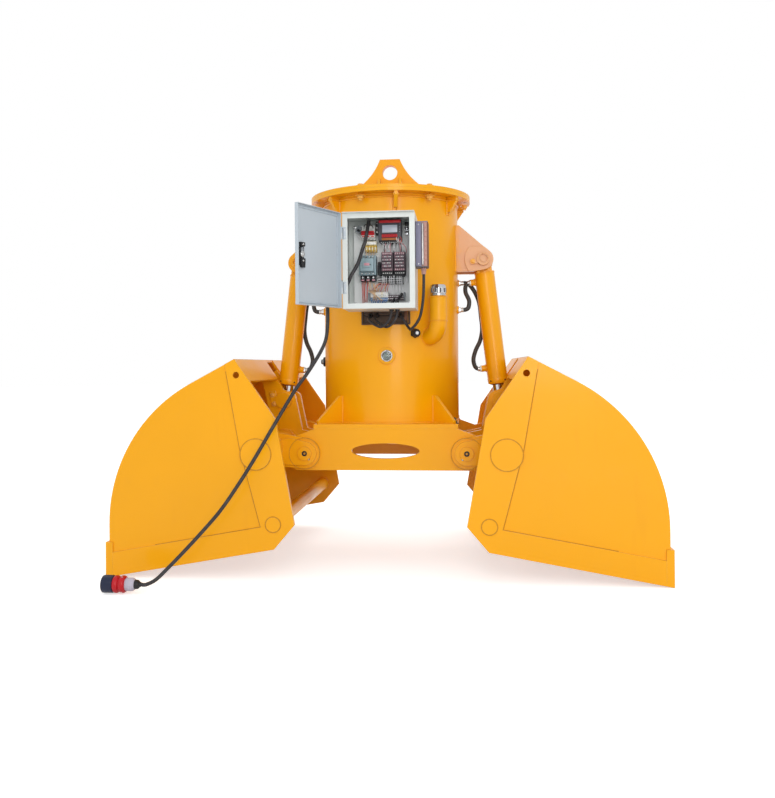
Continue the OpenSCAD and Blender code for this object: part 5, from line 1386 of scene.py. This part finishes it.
class BUCKET_OT_receiver(bpy.types.Operator):
    """Makes the remote receiver beside the box: a finned housing with a polished rib, whose lilac, pink and
    brown bands are painted reflections
    """

    bl_idname = "bucket.receiver"
    bl_label = "Receiver"

    def execute(self, context):
        make = Maker()
        low, high = 1279.2, 1469.2
        # The lilac face, the pink band and fins and the brown side face are painted reflections of a
        # polished housing: grey, pale and of the drum with its shade
        make.block((147.5, -518, low), (172, -440, high), "lilac painted reflection", 2.5)
        make.block((171, -516, low + 1), (195, -442, high - 1), "pink painted reflection", 2.0)
        make.block((172.5, -524, low + 8), (181, -486, high - 8), "brushed aluminium", 3.4, 4)
        for k in range(9):
            z = low + 12 + 19 * k
            make.block((183, -519.6, z), (193.6, -512, z + 14), "pink painted reflection", 1.6)
        make.block((194, -515, low + 2), (199.6, -444, high - 2), "brown phenolic and painted reflection", 1.2)
        make.block((147, -519, low - 0.2), (197, -444, low + 4), "anthracite polyamide", 1.0)
        make.block((147, -519, high - 4), (197, -444, high), "lilac painted reflection", 1.0)
        # Bracket strip between the box and the housing
        for foot, top, kind in (
            (high - 60, high - 6, "right-pale enamel"), (low + 66, low + 118, "brown phenolic and painted reflection"),
            (low + 40, low + 66, "black polyamide"), (low + 4, low + 40, "right-pale enamel"),
        ):
            make.block((146.05, -506, foot), (150, -452, top), kind, 0.6)
        for z in (low + 14, high - 14):
            make.screw((160, -518, z), (0, -1, 0), 3.0)
        make.done("receiver_housing", UNIT, ["receiver"])
        return {"FINISHED"}


# Fittings on the drum

# The window's lower and upper edge above the ground (mm)
WINDOW_LOW, WINDOW_HIGH = 1061.2, 1125.2
# Places on the drum's face: across its front and above the ground (mm)
SIGHT_GLASS_AT, SPARE_GLAND_AT = (6, 916.2), (127, 1015.2)
LEVEL_SENDER_AT, DRAIN_PLUG_AT = (-DRUM_R + 4, 0, 894.2), (299, -300, BASE_TOP)
# The filler's pipe stands this far out from the drum's axis, at this turn from the front
FILLER_OUT, FILLER_TURN = 385, 37
FILLER = about_drum(FILLER_TURN) @ Matrix.Translation((0, -FILLER_OUT, 0))


class BUCKET_OT_window(bpy.types.Operator):
    """Makes the foam seal in the drum's window, its lip and the clamp at its end"""

    bl_idname = "bucket.window"
    bl_label = "Window seal"

    def execute(self, context):
        make = Maker()
        low, high = WINDOW_LOW, WINDOW_HIGH
        for z in ((low - 8, low), (high, high + 8)):
            make.bent((-108, 110), z, (0.3, 5), "dark foam rubber", 1.6, 20)
        for x in ((-108, -99), (101, 110)):
            make.bent(x, (low - 7, high + 7), (0.3, 5), "dark foam rubber", 1.6, 2)
        make.bent((-99, 101), (low, WINDOW_MIDDLE - 0.6), (-9, -1), "dark foam rubber", 2.4, 20)
        make.bent((-99, 101), (WINDOW_MIDDLE + 0.6, high), (-9, -1), "dark foam rubber", 2.4, 20)
        make.bent((84, 99), (1072, 1114), (-2, 3.5), "brown phenolic and painted reflection", 1.2, 2)
        for k in range(3):
            entry = window_entry(k)
            make.lathe([(6.1, -12), (11, -12), (11.5, -8), (10, -3), (7.4, 1), (6.1, 1), (6.1, -12)],
                       entry, (0, -1, 0), "black polyamide", 20)
        make.done("window_foam", UNIT, ["cable_seal"])
        return {"FINISHED"}


class BUCKET_OT_sight_glass(bpy.types.Operator):
    """Makes the oil sight glass: boss, polished bezel, star reflector and domed lens"""

    bl_idname = "bucket.sight_glass"
    bl_label = "Sight glass"

    def execute(self, context):
        place = on_drum(*SIGHT_GLASS_AT)
        make = Maker(place)
        make.lathe([(25.5, -6), (36.5, -6), (36.5, 8), (34.8, 10), (26.5, 10), (25.5, 9), (25.5, -6)],
                   (0, 0, 0), UP, "orange enamel", 64)
        make.lathe([(19, -2), (26, -2), (26, 14), (24.6, 17), (21.5, 18), (19.8, 16.6), (19, 12), (19, -2)],
                   (0, 0, 0), UP, "hard chrome", 64)
        # Six black discs on the bezel's top stand for its notches: painted shade
        for turn in turns(6):
            make.disc(1.8, 16.4, 17.6, (22.6 * math.cos(turn), 22.6 * math.sin(turn), 0), UP,
                      "black polyamide", 10)
        make.lathe([(0, 1), (19.4, 1), (19.4, 3), (0, 3)], (0, 0, 0), UP, "anthracite polyamide", 32)
        # The reflector behind the glass: a star of eight pale petals
        for turn, long in zip(turns(8), (16, 10) * 4):
            petal = (Matrix.Translation((0, 0, 3)) @ Matrix.Rotation(turn, 4, "Z")
                     @ Matrix.Rotation(math.pi / 2, 4, "X"))
            make.plate([(2, 0), (long * 0.5, 0.9), (long, 0), (long * 0.5, 2.4)], -1.7, 1.7,
                       "white polycarbonate", 0.3, petal)
        make.disc(3.4, 3, 6, (0, 0, 0), UP, "white polycarbonate", 24)
        make.done("sight_glass_bezel", UNIT, ["sight_glass_ring"])
        make = Maker(place)
        make.lathe([(0, 8), (19.2, 8), (19.2, 11), (14, 12.4), (7, 13.1), (0, 13.3)], (0, 0, 0), UP,
                   "sight glass", 48)
        make.done("sight_glass_disc", UNIT, ["sight_glass_lens"])
        return {"FINISHED"}


class BUCKET_OT_fittings(bpy.types.Operator):
    """Makes the filler cap, cable gland, level switch and drain plug"""

    bl_idname = "bucket.fittings"
    bl_label = "Drum fittings"

    def execute(self, context):
        make = Maker(FILLER)
        make.lathe([(0, 1175.5), (34.5, 1175.5), (35.6, 1177), (35.6, 1181), (33.6, 1183), (33.4, 1186),
                    (0, 1186)], (0, 0, 0), UP, "hard chrome", 72)
        make.lathe([(0, 1186), (34.2, 1186), (36, 1188.5), (36, 1207), (35, 1212), (32.6, 1220),
                    (31, 1224), (28.5, 1225.2), (12, 1225.2), (11, 1223.6), (0, 1223.6)],
                   (0, 0, 0), UP, "hard chrome", 96, 12, 0.035)
        make.lathe([(0, 1159.4), (32.4, 1159.4), (32.4, 1176), (0, 1176)], (0, 0, 0), UP,
                   "black polyamide", 32)
        # Ten dark blocks in the cap's flutes, made as grip inlays: painted dark reflections in the chrome
        for angle in turns(10, 0.5):
            turn = Matrix.Rotation(angle, 3, "Z")
            middle = turn @ Vector((0, -33.9, 1199))
            make.block(middle - Vector((4, 2.2, 9.5)), middle + Vector((4, 2.2, 9.5)),
                       "anthracite polyamide", 1.2, 2, turn)
        make.done("breather_cap", "cap", ["filler_cap"])

        make = Maker(on_drum(*SPARE_GLAND_AT))
        make.hexagon((0, 0, -4), UP, 37, 15, "black polyamide")
        make.lathe([(0, 10), (17, 10), (18.5, 12), (18.5, 25), (16.6, 31), (12.6, 34), (8.4, 34), (7.6, 31),
                    (0, 31)], (0, 0, 0), UP, "black polyamide", 48, 12, 0.05)
        make.disc(7.4, 30, 32.4, (0, 0, 0), UP, "galvanised sheet", 24)
        make.done("spare_gland", UNIT, ["cable_gland"])

        make = Maker()
        at = LEVEL_SENDER_AT
        make.lathe([(0, 0), (23, 0), (23, 13), (21.5, 16), (0, 16)], at, LEFTWARD, "black polyamide", 48)
        make.hexagon((at[0] - 15, *at[1:]), LEFTWARD, 21, 6, "zinc-plated steel")
        make.lathe([(0, 20), (10.8, 20), (11.5, 22), (11.5, 26), (7.5, 28), (0, 28)], at, LEFTWARD,
                   "black polyamide", 24)
        for turn in turns(4, 0.5):
            make.screw((at[0] - 16, 17 * math.cos(turn), at[2] + 17 * math.sin(turn)), LEFTWARD, 2.6)
        make.done("level_sender", UNIT, ["level_switch"])

        make = Maker()
        at = DRAIN_PLUG_AT
        make.hexagon(at, UP, 20.6, 9, "olive powder coat", 2.0)
        make.lathe([(0, 10), (7.2, 10), (7.2, 21), (6.2, 23), (4, 23), (3.4, 20), (0, 20)], at, UP,
                   "olive powder coat", 24)
        make.disc(2.6, 20, 26, at, UP, "olive powder coat", 16)
        make.done("drain_plug_dressed", UNIT, ["drain_plug"])
        return {"FINISHED"}


# The cover's bolts: how many, the first one's turn from the front, and their circle (mm)
COVER_BOLTS, FIRST_BOLT, BOLT_CIRCLE = 7, -17, 350


class BUCKET_OT_cover_bolts(bpy.types.Operator):
    """Makes the cover's bolts with their washers, nuts and thread ends"""

    bl_idname = "bucket.cover_bolts"
    bl_label = "Cover bolts"

    def execute(self, context):
        make = Maker()
        kind = "bolt enamel"
        for k in range(COVER_BOLTS):
            turn = math.radians(FIRST_BOLT + k * 360 / COVER_BOLTS)
            x, y = BOLT_CIRCLE * math.sin(turn), -BOLT_CIRCLE * math.cos(turn)
            make.hexagon((x, y, COVER_TOP), UP, 23.6, 8.2, kind, 1.6)
            make.hexagon((x, y, FLANGE_LOW), (0, 0, -1), 23.6, 11.2, kind, 1.6)
            # The thread's end below the nut
            make.lathe([(0, 0), (6.4, 0), (7.6, 1.4), (7.6, 3), (6.9, 3.6), (7.6, 4.2), (7.6, 5.2),
                        (6.9, 5.8), (7.6, 6.4), (7.6, 9), (0, 9)], (x, y, FLANGE_LOW - 21), UP, kind, 20)
        make.done("cover_fasteners", UNIT, ["cover_bolts"])
        return {"FINISHED"}


# Faces of the jaw's end plate and of the rod's arm, out from the middle, and the rod's pin (mm)
END_FACE, ARM_FACE, ROD_PIN = 387, 83, Vector((243, 0, -116))
# Outer faces of the upper pin's plates, out from the middle
BRACKET_FACE, COLLAR_FACE = 87, 94


class BUCKET_OT_pin_fittings(bpy.types.Operator):
    """Makes the grease nipples, set screws and keeper bolts of the hinge and cylinder pins"""

    bl_idname = "bucket.pin_fittings"
    bl_label = "Pin fittings"

    def nipple(self, make, at, axis):
        make.hexagon(at, axis, 9, 3, "brass")
        make.lathe([(0, 2.5), (2.6, 2.5), (2.6, 4.4), (1.7, 5.2), (2.5, 6.6), (1.8, 7.8), (0, 8)],
                   at, axis, "brass", 16)

    def execute(self, context):
        for name, side in SIDES:
            make = Maker(on_jaw(side))
            for face in (-1, 1):
                axis = Vector((0, face, 0))
                end = axis * (PIN_HALF - 6)
                # A black ring on the floor of the pin's recess: painted shade in the recess
                make.ring(11.8, 5.2, 0, 1, end, axis, "black polyamide", 24)
                self.nipple(make, end, axis)
                # The seam round the eye plate
                # A ring in shaded enamel round the eye plate: painted shade along the plate's edge
                make.ring(69, 66.2, 0, 1.1, axis * (END_FACE - 0.4), axis, "shaded enamel", 64)
                # The set screw that locks the pin in the arm's end plate
                lock = Matrix.Rotation(OPEN_ANGLE, 3, "Y") @ Vector((-18, 0, -24))
                make.disc(5.4, 0, 1.2, lock + axis * END_FACE, axis, "black polyamide", 16)
                make.screw(lock + axis * (END_FACE + 1), axis, 4.4, "zinc-plated steel", 2.4)
                # Keeper bolts of the rod pin, on the plate under its boss
                for aside in (-8, 34):
                    at = ROD_PIN + Vector((aside, face * ARM_FACE, -47))
                    make.hexagon(at, axis, 13, 6, "bolt enamel", 1.4)
            make.done(f"hinge_fittings_{name}", f"jaw_{name}")
            make = Maker(mirrored(side, ABOVE))
            for face in (-1, 1):
                axis = Vector((0, face, 0))
                pin = Vector((TOP_PIN_X, 0, TOP_PIN_Z))
                make.disc(14, 0, 1.6, pin + axis * BRACKET_FACE, axis, "right-pale enamel")
                make.ring(29.4, 23.5, 0, 1.8, pin + axis * COLLAR_FACE, axis, "right-pale enamel")
                keeper = pin + Vector((-48, face * (BRACKET_FACE + 1), -11))
                make.hexagon(keeper, axis, 13, 6, "bolt enamel", 1.4)
            make.done(f"top_pin_fittings_{name}", UNIT)
        return {"FINISHED"}


class BUCKET_OT_cylinders(bpy.types.Operator):
    """Makes the chromed faces of the rods, and the barrels' gland nuts, wipers and port nuts"""

    bl_idname = "bucket.cylinders"
    bl_label = "Cylinder details"

    def execute(self, context):
        for name, side in SIDES:
            make = Maker(on_cylinder(side))
            make.lathe([(27.4, -608), (27.85, -608), (27.85, -215), (27.4, -215), (27.4, -608)],
                       (0, 0, 0), UP, "hard chrome", 48)
            make.done(f"rod_chrome_{name}", f"rod_body_{name}")
            make = Maker(on_cylinder(side))
            make.lathe([(29, -580), (38, -580), (44, -577), (46.6, -572), (46.6, -553), (45.8, -551.5),
                        (45.8, -549)], (0, 0, 0), UP, "orange enamel", 64)
            make.lathe([(28.2, -583), (31.5, -582.4), (33, -580), (33, -577), (28.2, -577), (28.2, -583)],
                       (0, 0, 0), UP, "black polyamide", 48)
            for turn in turns(4, 0.5):
                at = Vector((45.6 * math.cos(turn), 45.6 * math.sin(turn), -564))
                make.disc(4, -1, 1.3, at, (at.x, at.y, 0), "black polyamide", 16)
            make.lathe([(45.8, -62), (47.4, -60), (47.4, -54), (45.8, -52)], (0, 0, 0), UP,
                       "weld enamel", 48)
            for depth in (UPPER_PORT, LOWER_PORT):
                make.lathe([(14.6, 46), (17.4, 45.6), (18.2, 48), (16.6, 51), (15, 52)],
                           (0, 0, -depth), LEFTWARD, "weld enamel", 32)
                make.ring(15.6, 12.4, 65, 68.4, (0, 0, -depth), LEFTWARD, "bolt enamel", 32)
            for face in (-1, 1):
                make.ring(43, 21, 0, 1.2, (0, face * 45, 0), (0, face, 0), "orange enamel", 48)
            make.done(f"barrel_trim_{name}", f"cylinder_{name}")
        return {"FINISHED"}


# Weld seams

# The flange's ribs: how many, the first one's turn, half their thickness, and how far they reach
# out and down; then the same of the gussets on the base, which stand towards these corners (mm)
RIBS, FIRST_RIB, RIB_HALF, RIB_OUT, RIB_DOWN = 7, 8.7, 8.5, 366, 66
GUSSET_CORNERS = ((315, -360), (-315, -360), (315, 360), (-315, 360))
GUSSET_HALF, GUSSET_OUT, GUSSET_UP = 7.5, 450, 118
# The lug's plate on the cover, with its two cross plates on either side
LUG_HALF, LUG_REACH, STAY_X, STAY_HALF, STAY_REACH = 21, 300, 50, 7, 108
# Faces of the cylinder brackets' plates
BRACKET_SIDES = (-80.5, -49.5, 49.5, 80.5)
# Heights of the filler pipe's rings, and where its bend meets the drum
PIPE_RINGS, PIPE_FOOT = (1067.2, 1172), 1001.2
# The tubes across a jaw, about its hinge: middle, radius, and the faces that they pass through
TUBES = (((47, -152), 64, (48.5, 76.5, 360.5, 378.5, 604)), ((-247, -132), 31.5, (604,)))
TUBE_END, DOUBLER_FACE = 625.5, 619.6
DOUBLER_EDGE = ((-250.6, -640), (-250.6, -184.8), (82, -212.6), (404, -212.6))


def turned(points, degrees):
    """Points turned about the drum's axis."""
    move = Matrix.Rotation(math.radians(degrees), 4, "Z")
    return [move @ Vector(p) for p in points]


class BUCKET_OT_welds(bpy.types.Operator):
    """Lays the weld beads along the joints of the drum, the brackets and the jaws"""

    bl_idname = "bucket.welds"
    bl_label = "Weld seams"

    def execute(self, context):
        leg = context.scene.bucket_sizes.weld_leg
        self.drum(leg)
        for name, side in SIDES:
            self.jaw(name, side, leg)
        return {"FINISHED"}

    def drum(self, leg):
        lines = [circle((0, 0, BASE_TOP + 1), DRUM_R + 1.5, ACROSS, BACK, 180),
                 circle((0, 0, FLANGE_LOW - 1), DRUM_R + 1.5, ACROSS, BACK, 180)]
        wall = -DRUM_R - 1
        for k in range(RIBS):
            for edge in (-RIB_HALF, RIB_HALF):
                seam = [(edge, -RIB_OUT, FLANGE_LOW - 0.5), (edge, wall, FLANGE_LOW - 0.5),
                        (edge, wall, FLANGE_LOW - RIB_DOWN)]
                lines.append(turned(seam, FIRST_RIB + k * 360 / RIBS))
        for x, y in GUSSET_CORNERS:
            for edge in (-GUSSET_HALF, GUSSET_HALF):
                seam = [(edge, -GUSSET_OUT, BASE_TOP + 0.5), (edge, wall, BASE_TOP + 0.5),
                        (edge, wall, BASE_TOP + GUSSET_UP)]
                lines.append(turned(seam, math.degrees(math.atan2(x, -y))))
        foot = COVER_TOP + 0.5
        for face in (-1, 1):
            y = face * LUG_HALF
            lines.append([(-LUG_REACH, y, foot), (LUG_REACH, y, foot)])
            for x in (-STAY_X, STAY_X):
                for edge in (-STAY_HALF, STAY_HALF):
                    lines.append([(x + edge, y, foot), (x + edge, face * STAY_REACH, foot)])
        for side in (-1, 1):
            for y in BRACKET_SIDES:
                x = math.sqrt(DRUM_R**2 - y * y) + 1
                top = TOP_PIN_Z + (60 if abs(y) > 70 else 157)
                lines.append([(side * x, y, TOP_PIN_Z - 53), (side * x, y, top)])
        beads("drum_welds", lines, leg, UNIT)
        rings = [circle((0, 0, z), 38.2, ACROSS, BACK, 48) for z in PIPE_RINGS]
        saddle = []
        for t in circle((0, 0, 0), 39.5, ACROSS, BACK, 60):
            turn = math.asin(t.x / DRUM_R)
            saddle.append(((DRUM_R + 1) * math.sin(turn), FILLER_OUT - (DRUM_R + 1) * math.cos(turn),
                           PIPE_FOOT + t.y))
        beads("filler_welds", [*rings, saddle], leg * 0.7, UNIT, FILLER, 5.0)

    def jaw(self, name, side, leg):
        place = on_jaw(side)
        lines, rings, seams = [], [], []
        for face in (-1, 1):
            for (x, z), r, seats in TUBES:
                rings.append(circle((x, face * TUBE_END, z), r, ACROSS, UP, 60))
                lines += [circle((x, face * y, z), r, ACROSS, UP, 48) for y in seats]
            seams.append([(x, face * DOUBLER_FACE, z) for x, z in DOUBLER_EDGE])
        beads(f"jaw_welds_{name}", lines, leg, f"jaw_{name}", place)
        # The beads round the tube ends and along the doublers are welds coloured in shaded enamel: painted
        # shade along these seams
        beads(f"boss_welds_{name}", rings, leg * 0.6, f"jaw_{name}", place, 6.0, "shaded enamel")
        beads(f"doubler_welds_{name}", seams, leg * 0.9, f"jaw_{name}", place, 6.0, "shaded enamel")


# The panel and the run

STEPS = (
    BUCKET_OT_studio, BUCKET_OT_finishes, BUCKET_OT_supply, BUCKET_OT_leads, BUCKET_OT_hoses,
    BUCKET_OT_cabinet, BUCKET_OT_latch, BUCKET_OT_breakers, BUCKET_OT_contactor, BUCKET_OT_relays,
    BUCKET_OT_monitor, BUCKET_OT_terminals, BUCKET_OT_wiring, BUCKET_OT_receiver, BUCKET_OT_window,
    BUCKET_OT_sight_glass, BUCKET_OT_fittings, BUCKET_OT_cover_bolts, BUCKET_OT_pin_fittings,
    BUCKET_OT_cylinders, BUCKET_OT_welds,
)


class BUCKET_PT_pieces(bpy.types.Panel):
    """Lists the colours, the sizes and the operators that build the bucket"""

    bl_label = "Clamshell bucket"
    bl_idname = "BUCKET_PT_pieces"
    bl_space_type = "VIEW_3D"
    bl_region_type = "UI"
    bl_category = "Bucket"

    def draw(self, context):
        for group in (context.scene.bucket_colours, context.scene.bucket_sizes):
            for key in group.__annotations__:
                self.layout.prop(group, key)
        for step in STEPS:
            self.layout.operator(step.bl_idname)


CLASSES = (BucketColours, BucketSizes, *STEPS, BUCKET_PT_pieces)


def register():
    for item in CLASSES:
        bpy.utils.register_class(item)
    bpy.types.Scene.bucket_colours = bpy.props.PointerProperty(type=BucketColours)
    bpy.types.Scene.bucket_sizes = bpy.props.PointerProperty(type=BucketSizes)


def unregister():
    del bpy.types.Scene.bucket_sizes
    del bpy.types.Scene.bucket_colours
    for item in reversed(CLASSES):
        bpy.utils.unregister_class(item)


def main():
    for old in list(bpy.data.objects):
        if old.name in ("Cube", "Light", "Camera"):
            bpy.data.objects.remove(old)
    register()
    for step in STEPS:
        group, name = step.bl_idname.split(".")
        getattr(getattr(bpy.ops, group), name)()


if __name__ == "__main__":
    main()
